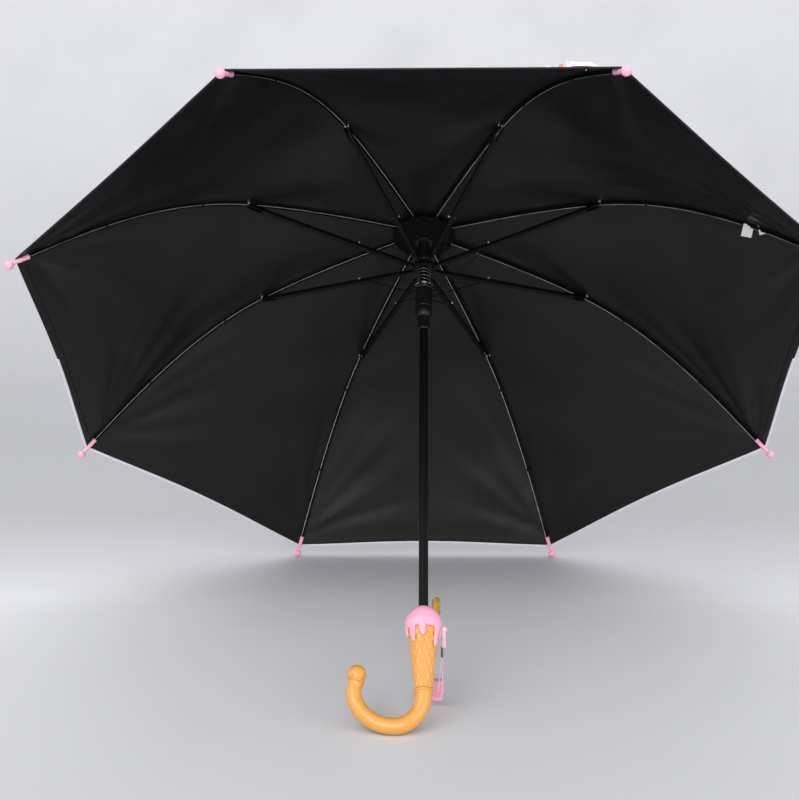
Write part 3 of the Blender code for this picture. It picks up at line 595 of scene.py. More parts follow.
def plate(outline, thickness, edge=0.0):
    """A flat outline in XY, thick about z = 0, with its rims eased."""
    shape = bmesh.new()
    bmesh.ops.contextual_create(shape, geom=[shape.verts.new((x, y, -thickness / 2)) for x, y in outline])
    made = bmesh.ops.extrude_face_region(shape, geom=shape.faces[:])["geom"]
    top = [item for item in made if isinstance(item, bmesh.types.BMVert)]
    bmesh.ops.translate(shape, vec=(0, 0, thickness), verts=top)
    bmesh.ops.recalc_face_normals(shape, faces=shape.faces)
    if edge:
        rims = [item for item in shape.edges if abs(item.verts[0].co.z - item.verts[1].co.z) < 1e-7]
        bmesh.ops.bevel(shape, geom=rims, offset=edge, offset_type="OFFSET", affect="EDGES", segments=2,
                        profile=0.5, material=-1, clamp_overlap=True)
    return shape


def block(size, edge=0.0, segments=2):
    shape = bmesh.new()
    bmesh.ops.create_cube(shape, size=1)
    bmesh.ops.scale(shape, vec=size, verts=shape.verts)
    if edge:
        bmesh.ops.bevel(shape, geom=shape.edges[:], offset=edge, offset_type="OFFSET", affect="EDGES",
                        segments=segments, profile=0.5, material=-1, clamp_overlap=True)
    return shape


def cut(item, cutter_shape):
    """Takes a shape out of a finished piece."""
    mesh = bpy.data.meshes.new("cutter")
    cutter_shape.to_mesh(mesh)
    cutter_shape.free()
    cutter = bpy.data.objects.new("cutter", mesh)
    bpy.context.scene.collection.objects.link(cutter)
    change = item.modifiers.new("Cut", "BOOLEAN")
    change.object = cutter
    change.operation = "DIFFERENCE"
    graph = bpy.context.evaluated_depsgraph_get()
    result = bpy.data.meshes.new_from_object(item.evaluated_get(graph))
    item.modifiers.clear()
    item.data = result
    bpy.data.objects.remove(cutter)


def smooth_route(route, spacing):
    """Evenly spaced points on one smooth curve through the route's own points."""
    points = [Vector(place) for place in route]
    dense = []
    for i in range(len(points) - 1):
        before = points[max(i - 1, 0)]
        after = points[min(i + 2, len(points) - 1)]
        first = points[i] + (points[i + 1] - before) / 6
        second = points[i + 1] - (after - points[i]) / 6
        dense += interpolate_bezier(points[i], first, second, points[i + 1], 20)[:-1]
    dense.append(points[-1])
    length = sum((b - a).length for a, b in zip(dense, dense[1:]))
    count = round(length / spacing)
    result = [dense[0]]
    travelled, target = 0.0, length / count
    for a, b in zip(dense, dense[1:]):
        step = (b - a).length
        while travelled + step >= target and len(result) < count:
            result.append(a.lerp(b, (target - travelled) / step))
            target += length / count
        travelled += step
    return result + [dense[-1]]


# ---------------------------------------------------------------- lanyard


def make_lanyard():
    route = smooth_route([Vector(place) * 0.001 for place in CORD_ROUTE], CORD_DIAMETER * 0.35)
    lobes = [(x * (1 + 0.14 * math.cos(3 * i * math.tau / 18)) * 0.88,
              y * (1 + 0.14 * math.cos(3 * i * math.tau / 18))
              * 0.88) for i, (x, y) in enumerate(circle(CORD_DIAMETER / 2, 18))]
    cord = piece("lanyard_twine", sweep(lobes, stations_along(route, twist=0.32)), "lanyard", [TWINE],
                 "lanyard_cord", LANYARD, 70)
    path = [PEG + point for point in route]
    length = sum((b - a).length for a, b in zip(path, path[1:]))

    around = PEG_RADIUS + CLEARANCE + 0.0006
    arc = [Vector((0, around * math.cos(a), around * math.sin(a)))
           for a in [math.radians(-20 + 220 * i / 16) for i in range(17)]]
    foot = [Vector((0, 0.00045, -TAPE_LENGTH)), Vector((0, 0.0007, -TAPE_LENGTH * 0.7))]
    loop = foot + arc + [Vector((p.x, -p.y, p.z)) for p in reversed(foot)]
    ribbon_stations = []
    for index, point in enumerate(loop):
        ahead = (loop[min(index + 1, len(loop) - 1)] - loop[max(index - 1, 0)]).normalized()
        width = Vector((1, 0, 0))
        ribbon_stations.append(Matrix.Translation(point) @ axes(width, ahead.cross(width), ahead))
    half = TAPE_WIDTH / 2
    strip = rounded([(-half, -0.0003), (half, -0.0003), (half, 0.0003), (-half, 0.0003)], 0.00025, True)
    stitches = [moved(tube([(0, 0.0009, 0), (0, -0.0009, 0)], 0.00016, 8),
                      shift(x, 0, z)) for z in (-0.0078, -0.0092)
                for x in (-0.0010, -0.0004, 0.0002, 0.0008)]
    tape = piece("lanyard_ribbon", joined(sweep(strip, ribbon_stations), *stitches), "lanyard", [RIBBON],
                 "lanyard_tape", LANYARD)

    body = block((0.0020, 0.0044, 0.0085), 0.0004)
    bands = [moved(block((0.0022, 0.0046, 0.0008), 0.0002), shift(0, 0, z))
             for z in (-0.0030, 0.0, 0.0030)]
    crimp_place = LANYARD @ shift(-0.0018, 0, -TAPE_LENGTH - CLEARANCE - 0.00425)
    crimp = piece("lanyard_clamp", joined(body, *bands), "lanyard", [CRIMP], "lanyard_crimp",
                  crimp_place)

    whistle = make_whistle()
    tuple(path[0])


def make_whistle():
    half = WHISTLE_HEIGHT / 2
    rim = WHISTLE_RADIUS * 0.8
    wall = WHISTLE_RADIUS
    outline = [(0, half), (rim, half), (wall, half - 0.0012), (wall, half - 0.0030), (wall - 0.0003,
                                                                                      half - 0.0033),
               (wall - 0.0003, half - 0.0038), (wall, half - 0.0041), (wall, 0.0034 - half),
               (wall - 0.0003, 0.0031 - half), (wall - 0.0003, 0.0026 - half), (wall, 0.0023 - half),
               (wall, 0.0012 - half), (rim, -half), (0, -half)]
    stud = [(0, 0.0098), (0.0012, 0.0098), (0.0014, 0.0096), (0.0014, 0.0093), (0.0009, 0.0091), (0.0009,
                                                                                                  0.0030),
            (0, 0.0030)]
    stud_place = shift(0.00255, 0, -0.0009) @ UPRIGHT
    shape = joined(lathe(rounded(outline, 0.0004), 56), moved(lathe(stud, 24), stud_place))
    whistle = piece("toy_whistle", shape, "lanyard", [PINK], "whistle",
                    LANYARD @ Matrix.Translation(WHISTLE_CENTRE))
    window = moved(block((0.0060, 0.0030, 0.0022)),
                   LANYARD @ Matrix.Translation(WHISTLE_CENTRE + Vector((0, WHISTLE_RADIUS, 0.0030))))
    cut(whistle, window)
    return whistle


# ---------------------------------------------------------------- ribs


def rib_slope(along):
    """Angle below the horizontal. The rib bends like a beam pushed at its pivot and free at both ends."""
    if along <= INNER_RIB:
        return CROWN_SLOPE + (PIVOT_SLOPE - CROWN_SLOPE) * (along / INNER_RIB) ** 2
    past = (along - INNER_RIB) / OUTER_RIB
    return PIVOT_SLOPE + (TIP_SLOPE - PIVOT_SLOPE) * (2 * past - past * past)


@functools.lru_cache(maxsize=4000)
def rib_point(along):
    """Place of the rib's middle line in the plane of the shaft and the rib."""
    steps = 60
    place = RIB_START.copy()
    for i in range(steps):
        slope = rib_slope(along * (i + 0.5) / steps)
        place += Vector((math.cos(slope), 0, -math.sin(slope))) * along / steps
    return place


def rib_normal(along):
    slope = rib_slope(along)
    return Vector((math.sin(slope), 0, math.cos(slope)))


def rib_station(along):
    """A section's x lies across the rib and its y points away from the shaft's handle end."""
    slope = rib_slope(along)
    ahead = Vector((math.cos(slope), 0, -math.sin(slope)))
    return (Matrix.Translation(rib_point(along))
            @ axes(Vector((0, 1, 0)), rib_normal(along), ahead))


def channel(width, height, wall, open_side=-1):
    """A U section, open downwards, or upwards with open_side 1."""
    outer, inner, high, floor = width / 2, width / 2 - wall, height / 2, height / 2 - wall
    points = [(-outer, -high), (-outer, high), (outer, high), (outer, -high), (inner, -high), (inner, floor),
              (-inner, floor), (-inner, -high)]
    return [(x, -y * open_side) for x, y in points]


def make_ribs():
    """Folded channels with a painted highlight along one lip, a tongue at the notch and two thread ties each."""
    end = TIP_START - CLEARANCE
    start = end * 0.012
    stations = [rib_station(start + (end - start) * i / 72) for i in range(73)]
    section = channel(RIB_WIDTH, RIB_HEIGHT, CHANNEL_WALL)
    lip_middle, lip_half = RIB_WIDTH / 2 - CHANNEL_WALL / 2, CHANNEL_WALL / 2
    lip_level = -RIB_HEIGHT / 2
    tongue = []
    for angle in range(0, 181, 20):
        a = math.radians(-angle)
        tongue.append((RIB_HINGE.x + 0.0018 * math.cos(a), RIB_HINGE.z + 0.0018 * math.sin(a)))
    top = rib_point(0.0)
    tongue += [(top.x + 0.0005, top.z + 0.0010), (top.x + 0.0120, top.z), (RIB_HINGE.x + 0.0034,
                                                                           RIB_HINGE.z + 0.0040)]
    for number in NUMBERS:
        # A thin strip on one lip that carries the painted highlight, finish 1.
        lip = sweep([(lip_middle - lip_half, lip_level - 0.00008), (lip_middle + lip_half,
                                                                    lip_level - 0.00008),
                     (lip_middle + lip_half, lip_level + 0.0002), (lip_middle - lip_half,
                                                                   lip_level + 0.0002)], stations)
        eye = moved(plate(tongue, 0.0014, 0.0002), UPRIGHT)
        shape = joined(sweep(section, stations), eye, painted(lip, 1))
        piece(f"rib_channel_{number}", shape, f"rib_arm_{number}", [STEEL, LIP_HIGHLIGHT], f"rib_{number}",
              spoke(number), 30)
        ties = []
        for place in TIE_PLACES:
            for step in (-0.0009, 0.0, 0.0009):
                loop = lathe([(0.0023 + x, y) for x, y in circle(0.00042, 8)], 20, ring=True)
                ties.append(moved(loop, rib_station(place + step) @ Matrix.Diagonal((1.0, 0.86, 1, 1))))
        piece(f"thread_tie_{number}", joined(*ties), f"rib_arm_{number}", [THREAD], None,
              spoke(number))


def make_tips():
    """Turned tips: a socket over the rib's end, a neck and a ball."""
    neck = -math.sqrt(BALL_RADIUS ** 2 - TIP_NECK ** 2)
    ball = [(0, BALL_RADIUS)]
    for i in range(1, 14):
        angle = math.pi / 2 - i * (math.pi / 2 + math.asin(-neck / BALL_RADIUS)) / 14
        ball.append((BALL_RADIUS * math.cos(angle), BALL_RADIUS * math.sin(angle)))
    shank = [(TIP_NECK, neck), (TIP_NECK, -TIP_LENGTH * 0.42), (TIP_SOCKET, -TIP_LENGTH * 0.56),
             (TIP_SOCKET, -TIP_LENGTH + 0.0016), (TIP_SOCKET + 0.0003, -TIP_LENGTH + 0.0012),
             (TIP_SOCKET + 0.0003, -TIP_LENGTH), (0, -TIP_LENGTH)]
    end = rib_point(INNER_RIB + OUTER_RIB)
    along = end - rib_point(TIP_START)
    turn = Matrix.Translation(end) @ Matrix.Rotation(math.atan2(along.x, along.z), 4, "Y")
    for number in NUMBERS:
        piece(f"tip_{number}", lathe(ball + rounded(shank, 0.0004), 32), f"rib_arm_{number}", [PINK],
              f"rib_tip_{number}", spoke(number) @ turn)


# ---------------------------------------------------------------- fabric


def creases(number):
    """Seeded creases that fan out of a rib's tip: (angle from the rib, width, height)."""
    draw = random.Random(40 + number)
    fans = []
    for side in (-1, 1):
        for i in range(5):
            angle = side * (0.16 + 0.20 * i + draw.uniform(-0.06, 0.06))
            fans.append((angle, draw.uniform(0.045, 0.085), draw.uniform(0.0022, 0.0046) * draw.choice((-1,
                                                                                                        1))))
    return fans


def fabric_lift(along):
    """Height of the fabric over the rib's middle line. It rises near the tip to clear the socket."""
    ramp = min(1.0, max(0.0, (along - TIP_START + TIP_RAMP) / TIP_RAMP_RISE))
    return OVER_RIB + (OVER_TIP - OVER_RIB) * ramp


def fabric_point(down, across, fans=()):
    """A point of one gore: down runs from the crown to the hem, and across from -1 to 1 between two panel
    middles."""
    start = CROWN_HOLE - RIB_START.x
    bow = math.sin(math.pi / 2 * abs(across)) ** 1.5
    along = start + (TIP_START + TIP_COVER - start) * down - HEM_BOW * bow * down ** 6
    place = rib_point(along) + rib_normal(along) * fabric_lift(along)
    edge = place.x * math.sin(HALF_STEP) * math.cos(HALF_STEP) + 0.0001
    pull = place.x * math.sin(HALF_STEP) ** 2 * abs(across)
    sag = PANEL_SAG * math.sin(math.pi * down) * bow
    point = Vector((place.x - pull, edge * across, place.z - sag))
    tip = rib_point(TIP_START)
    reach = math.hypot(tip.x - point.x, point.y)
    angle = math.atan2(point.y, tip.x - point.x)
    fold = 0.0
    for middle, width, height in fans:
        fold += height * math.exp(-((angle - middle) / width) ** 2)
    inside = 1 - across ** 4
    fade = (1 - math.exp(-reach / 0.014)) * math.exp(-reach / 0.110) * inside
    phase = fans[0][0] * 90 if fans else 0.0
    swell = SWELL * math.sin(along * 52 + phase) * math.sin(math.pi * across) * math.sin(math.pi * down) * inside
    pucker = PUCKER * math.sin(along * math.tau / PUCKER_LENGTH) * math.exp(-abs(point.y) / 0.007)
    clear = min(1.0, abs(point.y) / 0.008) ** 2
    return point + rib_normal(along) * ((fold * fade + swell) * clear + pucker * min(1.0,
                                                                                     abs(point.y) / 0.004))


def cloth_sheet(place, columns, rows):
    """A thin sheet. place gives the point for (down, across). The outer side takes finish 0 and the inner
    side 1."""
    shape = bmesh.new()
    bmesh.ops.create_grid(shape, x_segments=columns, y_segments=rows, size=1)
    layer = shape.loops.layers.uv.new("cloth")
    for face in shape.faces:
        for loop in face.loops:
            loop[layer].uv = ((loop.vert.co.x + 1) / 2, (loop.vert.co.y + 1) / 2)
    for vert in shape.verts:
        vert.co = place((vert.co.y + 1) / 2, vert.co.x)
    bmesh.ops.recalc_face_normals(shape, faces=shape.faces)
    if sum(face.normal.z for face in shape.faces) < 0:
        bmesh.ops.reverse_faces(shape, faces=shape.faces)
    area = sum(face.calc_area() for face in shape.faces)
    bmesh.ops.solidify(shape, geom=shape.faces[:], thickness=FABRIC)
    for face in shape.faces:
        face.material_index = 0 if face.normal.z > 0.1 else 1
    return shape, area


def hem_stations(fans, inset, drop):
    """Stations along a gore's lower edge, inset up the cloth and dropped to its lining side."""
    stations = []
    for i in range(41):
        across = -1 + 2 * i / 40
        here = fabric_point(1.0, across, fans)
        above = fabric_point(0.985, across, fans)
        inwards = (above - here).normalized()
        ahead = fabric_point(1.0, min(across + 0.02, 1), fans) - fabric_point(1.0, max(across - 0.02, -1),
                                                                              fans)
        out = ahead.cross(inwards).normalized()
        out = out if out.z > 0 else -out
        across_hem = inwards - inwards.project(ahead)
        frame_here = axes(across_hem.normalized(), out, ahead.normalized())
        stations.append(Matrix.Translation(here + inwards * inset - out * drop) @ frame_here)
    return stations


def follow_fold(item):
    """Gives the piece a mesh of its own."""
    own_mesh(item)


def make_canopy():
    """Eight gores that meet in the middle of each panel, with a folded hem and a rolled edge."""
    for number in NUMBERS:
        fans = creases(number)
        body = f"rib_arm_{number}"
        shape, flat_area = cloth_sheet(lambda down, across: fabric_point(down, across, fans), 48, 72)
        gore = piece(f"canopy_gore_{number}", shape, body, [PRINT, LINING], f"canopy_panel_{number}",
                     spoke(number))
        roll, hem_finish = (0.0014, PALE_HEM) if number <= RIB_COUNT / 2 else (0.0009, LINING)
        fold_section = rounded([(-0.0001, -0.00018), (0.0075, -0.00018), (0.0075, 0.00018), (-0.0001,
                                                                                             0.00018)],
                               0.00015, True)
        fold = sweep(fold_section, hem_stations(fans, 0.0, FABRIC * 0.75))
        stitches = sweep(circle(0.00022, 6), hem_stations(fans, 0.0066, FABRIC * 1.15))
        hem = piece(f"hem_fold_{number}", joined(fold, painted(stitches, 1)), body, [LINING, THREAD], None,
                    spoke(number))
        edge = piece(f"hem_edge_{number}", sweep(circle(roll, 8), hem_stations(fans, 0.0001 - roll,
                                                                               0.0001)), body,
                     [hem_finish], None, spoke(number))
        frill = make_frill(number)
        for item in (gore, hem, edge, frill):
            follow_fold(item)
        make_seam(number)


def make_frill(number):
    """One eighth of the gathered patch that covers the ribs' inner ends from below."""

    def place(down, across):
        angle = HALF_STEP * across
        reach = FRILL_START + (FRILL_RADIUS - FRILL_START) * down
        ruffle = 0.0018 * down ** 2 * math.cos(16 * angle) + 0.0006 * down * math.cos(32 * angle)
        return Vector((reach * math.cos(angle), reach * math.sin(angle), -0.0160 + 0.0062 * down + ruffle))

    shape, _ = cloth_sheet(place, 32, 12)
    return piece(f"crown_frill_{number}", shape, f"rib_arm_{number}", [DARK_CLOTH, DARK_CLOTH], None,
                 spoke(number))


def make_seam(number):
    """The panel seam that runs behind each rib, with a row of stitches on both sides."""
    end = TIP_START - 0.004
    places = [0.020 + (end - 0.020) * i / 80 for i in range(81)]

    def stations(side, drop):
        return [rib_station(s) @ shift(side,
                                       fabric_lift(s) - FABRIC - drop - 0.0012 * math.sin(rib_slope(s)), 0) for s in places]

    tape = sweep(rounded([(-SEAM_HALF_WIDTH, -0.00015), (SEAM_HALF_WIDTH, -0.00015), (SEAM_HALF_WIDTH,
                                                                                      0.00015), (-SEAM_HALF_WIDTH, 0.00015)], 0.0001,
                         True), stations(0, 0.0003))
    rows = [sweep(circle(0.00014, 6), stations(side * 0.0021, 0.0005)) for side in (-1, 1)]
    piece(f"panel_seam_{number}", joined(tape, *[painted(row, 1) for row in rows]), f"rib_arm_{number}",
          [LINING, THREAD], None, spoke(number))


def make_crown():
    """The round cover over the crown, stitched near its rim."""
    bore = SHAFT_RADIUS + 0.0004
    cover = [(bore, 0.0015), (0.0110, 0.0012), (0.0180, 0.0000), (0.0235, -0.0012), (0.0240, -0.0014),
             (0.0241, -0.0018), (0.0235, -0.0020), (0.0180, -0.0008), (bore, 0.0007)]
    shape = lathe(rounded(cover, 0.0003, True), 96, ring=True)
    stitches = [moved(block((0.0016, 0.0004, 0.0003), 0.0001), Matrix.Rotation(math.tau * i / 56, 4, "Z")
                      @ shift(0.0222, 0, -0.00085) @ Matrix.Rotation(math.pi / 2, 4, "Z"))
                for i in range(56)]
    piece("crown_cover", joined(shape, *[painted(stitch, 1) for stitch in stitches]), "handle", [PRINT_EDGE,
                                                                                                 LABEL],
          "hub_patch", UMBRELLA)


def make_closing_strap():
    """A strap with a press stud, sewn outside one panel near its hem."""
    number, across = 7, -0.16
    fans = creases(number)
    stations = []
    for i in range(33):
        down = 0.985 - 0.235 * i / 32
        here = fabric_point(down, across, fans)
        ahead = (fabric_point(down - 0.004, across, fans) - here).normalized()
        side = (fabric_point(down, across + 0.02, fans) - here).normalized()
        out = side.cross(ahead).normalized()
        out = out if out.z > 0 else -out
        lift = FABRIC + 0.0016 + 0.0012 * math.sin(math.pi * i / 32)
        stations.append(Matrix.Translation(here + out * lift) @ axes(side, out, side.cross(out)))
    strip = sweep(rounded([(-0.009, -0.0004), (0.009, -0.0004), (0.009, 0.0004), (-0.009, 0.0004)], 0.0003,
                          True),
                  stations)
    stud = lathe(rounded([(0, 0.0022), (0.0034, 0.0018), (0.0046, 0.0008), (0.0046, 0.0), (0, 0.0)],
                         0.0005), 32)
    stud = moved(stud, stations[29] @ Matrix.Rotation(-math.pi / 2, 4, "X"))
    piece("closing_strap", joined(strip, painted(stud, 1)), f"rib_arm_{number}", [PRINT_EDGE, RIVET], None,
          spoke(number))


def make_labels():
    """Two blank care labels that hang from the seam of the right-hand rib."""
    seam = spoke(8) @ rib_point(INNER_RIB + 0.163)
    tags = []
    for place, width, height, tilt in ((Vector((0.0, -0.0055, 0.0)), 0.0105, 0.0125, 0.20),
                                       (Vector((0.0118, -0.0135, -0.0010)), 0.0090, 0.0105, -0.20)):
        outline = [(0.0, 0.0), (width, 0.0), (width, -height), (0.0, -height)]
        tag = plate(rounded(outline, 0.0004, True), 0.0003)
        tags.append(moved(tag, Matrix.Translation(seam + place)
                          @ Matrix.Rotation(tilt, 4, "Y") @ UPRIGHT))
    piece("care_labels", joined(*tags), "rib_arm_8", [LABEL], None)


# ---------------------------------------------------------------- stretchers and wires


def rivet(radius, reach):
    """A domed pin across Y, with a head at each end."""
    head = [(0, reach), (radius * 0.55, reach - 0.0001), (radius * 0.9, reach - 0.0003), (radius,
                                                                                          reach - 0.0006),
            (radius * 0.6, reach - 0.0006), (radius * 0.6, 0)]
    outline = head + [(x, -z) for x, z in reversed(head[:-1])]
    return moved(lathe(outline, 20), UPRIGHT)


def stretcher_shape():
    """A channel with a narrow tongue at the collar, lugs for the wire's pin and a fork round the rib."""
    width, height = 0.0046, 0.0042
    level = -STRETCHER_DROP + (STRETCHER_HEIGHT - height) / 2
    root = STRETCHER_LENGTH - FORK_DEPTH
    fork_outer = RIB_WIDTH / 2 + CLEARANCE + EAR_THICKNESS
    section = channel(width, height, 0.0007, 1)
    spread = fork_outer / (width / 2)

    def station(x, widen, tall=1.0):
        turn = axes(Vector((0, 1, 0)), Vector((0, 0, 1)), Vector((1, 0, 0)))
        return shift(x, 0, level) @ turn @ Matrix.Diagonal((widen, tall, 1, 1))

    stations = [station(0.0075, 0.60, 0.8), station(0.0120, 0.90, 0.95), station(0.0170, 1.0),
                station(root - 0.008, 1.0),
                station(root - 0.004, 1 + (spread - 1) * 0.4), station(root, spread), station(root + 0.0015,
                                                                                              spread)]
    tongue = [(-0.0018, -0.0016), (-0.0010, 0.0008), (0.0010, 0.0010), (0.0130, -0.0006), (0.0130, -0.0032),
              (0.0010, -0.0034)]
    shapes = [sweep(section, stations), moved(plate(rounded(tongue, 0.0008, True), 0.0020, 0.0002), UPRIGHT)]
    half = height / 2
    ear = [(root - 0.001, level - half), (STRETCHER_LENGTH - 0.004, level - half),
           (STRETCHER_LENGTH + 0.0008, level + 0.0002), (STRETCHER_LENGTH + 0.0014, 0.0002),
           (STRETCHER_LENGTH, 0.0012), (STRETCHER_LENGTH - 0.0030, level + half), (root - 0.001,
                                                                                   level + half)]
    lug = [(WIRE_PIN - 0.0035, level), (WIRE_PIN + 0.0035, level), (WIRE_PIN + 0.0012, 0.0010),
           (WIRE_PIN - 0.0012, 0.0010)]
    for side in (-1, 1):
        middle = side * (fork_outer - EAR_THICKNESS / 2)
        shapes.append(moved(plate(rounded(ear, 0.0012, True), EAR_THICKNESS, 0.0001),
                            shift(0, middle, 0) @ UPRIGHT))
        shapes.append(moved(plate(rounded(lug, 0.0008, True), 0.0007, 0.0001),
                            shift(0, side * (width / 2 - 0.00036), 0) @ UPRIGHT))
    return joined(*shapes)


def make_stretchers():
    for number in NUMBERS:
        body = f"stretcher_arm_{number}"
        piece(f"stretcher_channel_{number}", stretcher_shape(), body, [STEEL], f"stretcher_{number}",
              spoke(number) @ STRETCHER, 30)
        pivot_pin = moved(rivet(0.0017, RIB_WIDTH / 2 + CLEARANCE + EAR_THICKNESS + 0.0006),
                          shift(STRETCHER_LENGTH, 0, 0))
        wire_pin = moved(rivet(0.0015, WIRE_SIDE + WIRE_RADIUS + 0.0005), shift(WIRE_PIN, 0, 0))
        piece(f"rivets_{number}", joined(pivot_pin, wire_pin), body, [RIVET], None,
              spoke(number) @ STRETCHER)


def make_wires():
    """Thin links from the stretchers to the runner, bent into an eye at each end."""
    way = (WIRE_END - WIRE_PLACE).normalized()
    drop = Vector((way.z, 0, -way.x))
    eye = 0.0016

    def loop(centre, towards):
        start = math.atan2(towards.dot(drop), towards.dot(way))
        return [centre + (way * math.cos(start + a) + drop * math.sin(start + a)) * eye
                for a in [math.tau * 0.94 * i / 20 for i in range(21)]]

    side = Vector((0, WIRE_SIDE, 0))
    first = [side + point for point in reversed(loop(WIRE_PLACE, way))]
    last = [side + point for point in loop(WIRE_END, -way)]
    for number in NUMBERS:
        shape = tube(first + [side + WIRE_PLACE.lerp(WIRE_END, 0.5)] + last, WIRE_RADIUS * 0.9, 10)
        piece(f"link_wire_{number}", shape, f"wire_arm_{number}", [STEEL], f"wire_{number}",
              spoke(number), 60)


# ---------------------------------------------------------------- shaft


def teeth(count, reach, size, level, offset=0.0):
    """Small blocks round a ring, in pairs that leave a slot for each arm."""
    blocks = []
    for i in range(count):
        for side in (-1, 1):
            turn = Matrix.Rotation(math.tau * (i + 0.5) / count + offset, 4, "Z")
            blocks.append(moved(block(size, 0.0003), turn @ shift(reach, side * 0.0026, level)))
    return blocks


def make_shaft():
    bore = SHAFT_RADIUS - 0.0007
    ends = [(SHAFT_RADIUS, SHAFT_TOP), (SHAFT_RADIUS, SHAFT_BOTTOM), (bore, SHAFT_BOTTOM), (bore, SHAFT_TOP)]
    tube_outline = rounded(ends, 0.0002, True)
    piece("shaft", lathe(tube_outline, 64, ring=True), "handle", [STEEL], "shaft_tube",
          UMBRELLA)

    bore = SHAFT_RADIUS + CLEARANCE
    sleeve = COLLAR_HINGE.z + COLLAR_RISE + 0.0020
    notch = [(0.0075, -0.0032), (0.0075, -0.0138), (0.0090, -0.0150), (0.0095, -0.0165), (0.0095, -0.0197),
             (SLEEVE_RADIUS, -0.0197), (SLEEVE_RADIUS, sleeve), (bore, sleeve), (bore, -0.0032)]
    shapes = [lathe(rounded(notch, 0.0005, True), 64, ring=True)] + teeth(RIB_COUNT, 0.0096, (0.0044,
                                                                                              0.0012, 0.0075),
                                                                         -0.0130)
    piece("rib_notch", joined(*shapes), "handle", [PLASTIC], "top_notch", UMBRELLA)

    base = 0.0008 + 0.0008 + CLEARANCE
    top = base + 0.0480
    ferrule = [(0, top), (0.0040, top), (0.0050, top - 0.0012), (0.0056, top - 0.016), (0.0062,
                                                                                        top - 0.0300),
               (0.0074, top - 0.0310), (0.0074, top - 0.0328), (0.0064, top - 0.0338), (0.0072,
                                                                                        base + 0.0085),
               (0.0106, base + 0.0042), (0.0115, base + 0.0030), (0.0115, base), (bore, base),
               (bore, SHAFT_TOP + CLEARANCE), (0, SHAFT_TOP + CLEARANCE)]
    piece("ferrule_cap", lathe(rounded(ferrule, 0.0005), 64), "handle", [PLASTIC], "ferrule",
          UMBRELLA)


def make_collar():
    bore = SHAFT_RADIUS + CLEARANCE
    middle = COLLAR_HINGE.z
    top, bottom = middle + COLLAR_RISE, middle - COLLAR_FALL
    outline = [(0.0090, top), (0.0095, top - 0.0006), (0.0095, top - 0.0020), (0.0080, top - 0.0030),
               (0.0080, bottom + 0.0024), (0.0095, bottom + 0.0014), (0.0095, bottom), (bore,
                                                                                        bottom), (bore, top)]
    shapes = [lathe(rounded(outline, 0.0004, True), 64, ring=True)] + teeth(RIB_COUNT, 0.0096,
                                                                            (0.0046, 0.0012, 0.0072), middle)
    piece("collar_ring", joined(*shapes), "collar", [PLASTIC], "stretcher_collar", UMBRELLA)

    start = bottom - CLEARANCE - SPRING_WIRE
    end = RUNNER_TOP + CLEARANCE + SPRING_WIRE
    middle_radius = SPRING_OUTER - SPRING_WIRE
    count = round(SPRING_TURNS * 32)
    points = []
    for i in range(count + 1):
        share = i / count
        eased = share - 0.055 * math.sin(math.tau * share) / math.tau * 2
        angle = math.tau * SPRING_TURNS * share
        points.append((middle_radius * math.cos(angle), middle_radius * math.sin(angle),
                       start + (end - start) * eased))
    spring = piece("opening_coil", tube(points, SPRING_WIRE, 10), "collar", [SPRING], "opening_spring",
                   UMBRELLA, 60)
    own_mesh(spring)


def make_runner():
    """A sleeve with a wired rim, a soft bulge, a slimmer neck and an end ring."""
    bore = SHAFT_RADIUS + CLEARANCE
    top = RUNNER_TOP
    outline = [(0.0100, top), (0.0109, top - 0.0007), (0.0109, top - 0.0028), (0.0094, top - 0.0042),
               (0.0091, top - 0.0060), (0.0091, top - 0.0285), (0.0084, top - 0.0298), (0.0084,
                                                                                        top - 0.0312),
               (0.0091, top - 0.0324), (0.0093, top - 0.0345), (0.0089, top - 0.0375), (0.0076,
                                                                                        top - 0.0405),
               (0.0063, top - 0.0420), (0.0061, top - 0.0550), (0.0069, top - 0.0565), (0.0069,
                                                                                        top - 0.0590),
               (0.0063, top - 0.0600), (bore, top - 0.0600), (bore, top)]
    rim_wire = lathe([(0.0104 + x, top - 0.0001 + y) for x, y in circle(0.00060, 10)], 72, ring=True)
    lugs = [moved(block((0.0030, 0.0024, 0.0034), 0.0005), Matrix.Rotation(math.tau * (i + 0.5) / RIB_COUNT,
                                                                           4, "Z")
                  @ shift(0.0100, 0, top - 0.0020)) for i in range(RIB_COUNT)]
    shapes = [lathe(rounded(outline, 0.0006, True), 72, ring=True), painted(rim_wire, 1), *lugs]
    piece("runner_sleeve_body", joined(*shapes), "runner_sleeve", [PLASTIC, RIVET], "runner",
          UMBRELLA)


# ---------------------------------------------------------------- handle


def cone_radius(z):
    share = (CAP_CENTRE - z) / (CAP_CENTRE - CONE_BOTTOM)
    return CONE_TOP_RADIUS + (CONE_BOTTOM_RADIUS - CONE_TOP_RADIUS) * share


def waffle(angle, z):
    """Depth of the grooves that cross on the wafer cone, from 0 to 1."""
    round_cone = angle / math.tau * WAFFLE_TURNS
    lines = (round_cone + z * WAFFLE_RISE, round_cone - z * WAFFLE_RISE)
    near = max(abs((line % 1.0) - 0.5) * 2 for line in lines)
    return max(0.0, min(1.0, (near - 0.66) / 0.24))


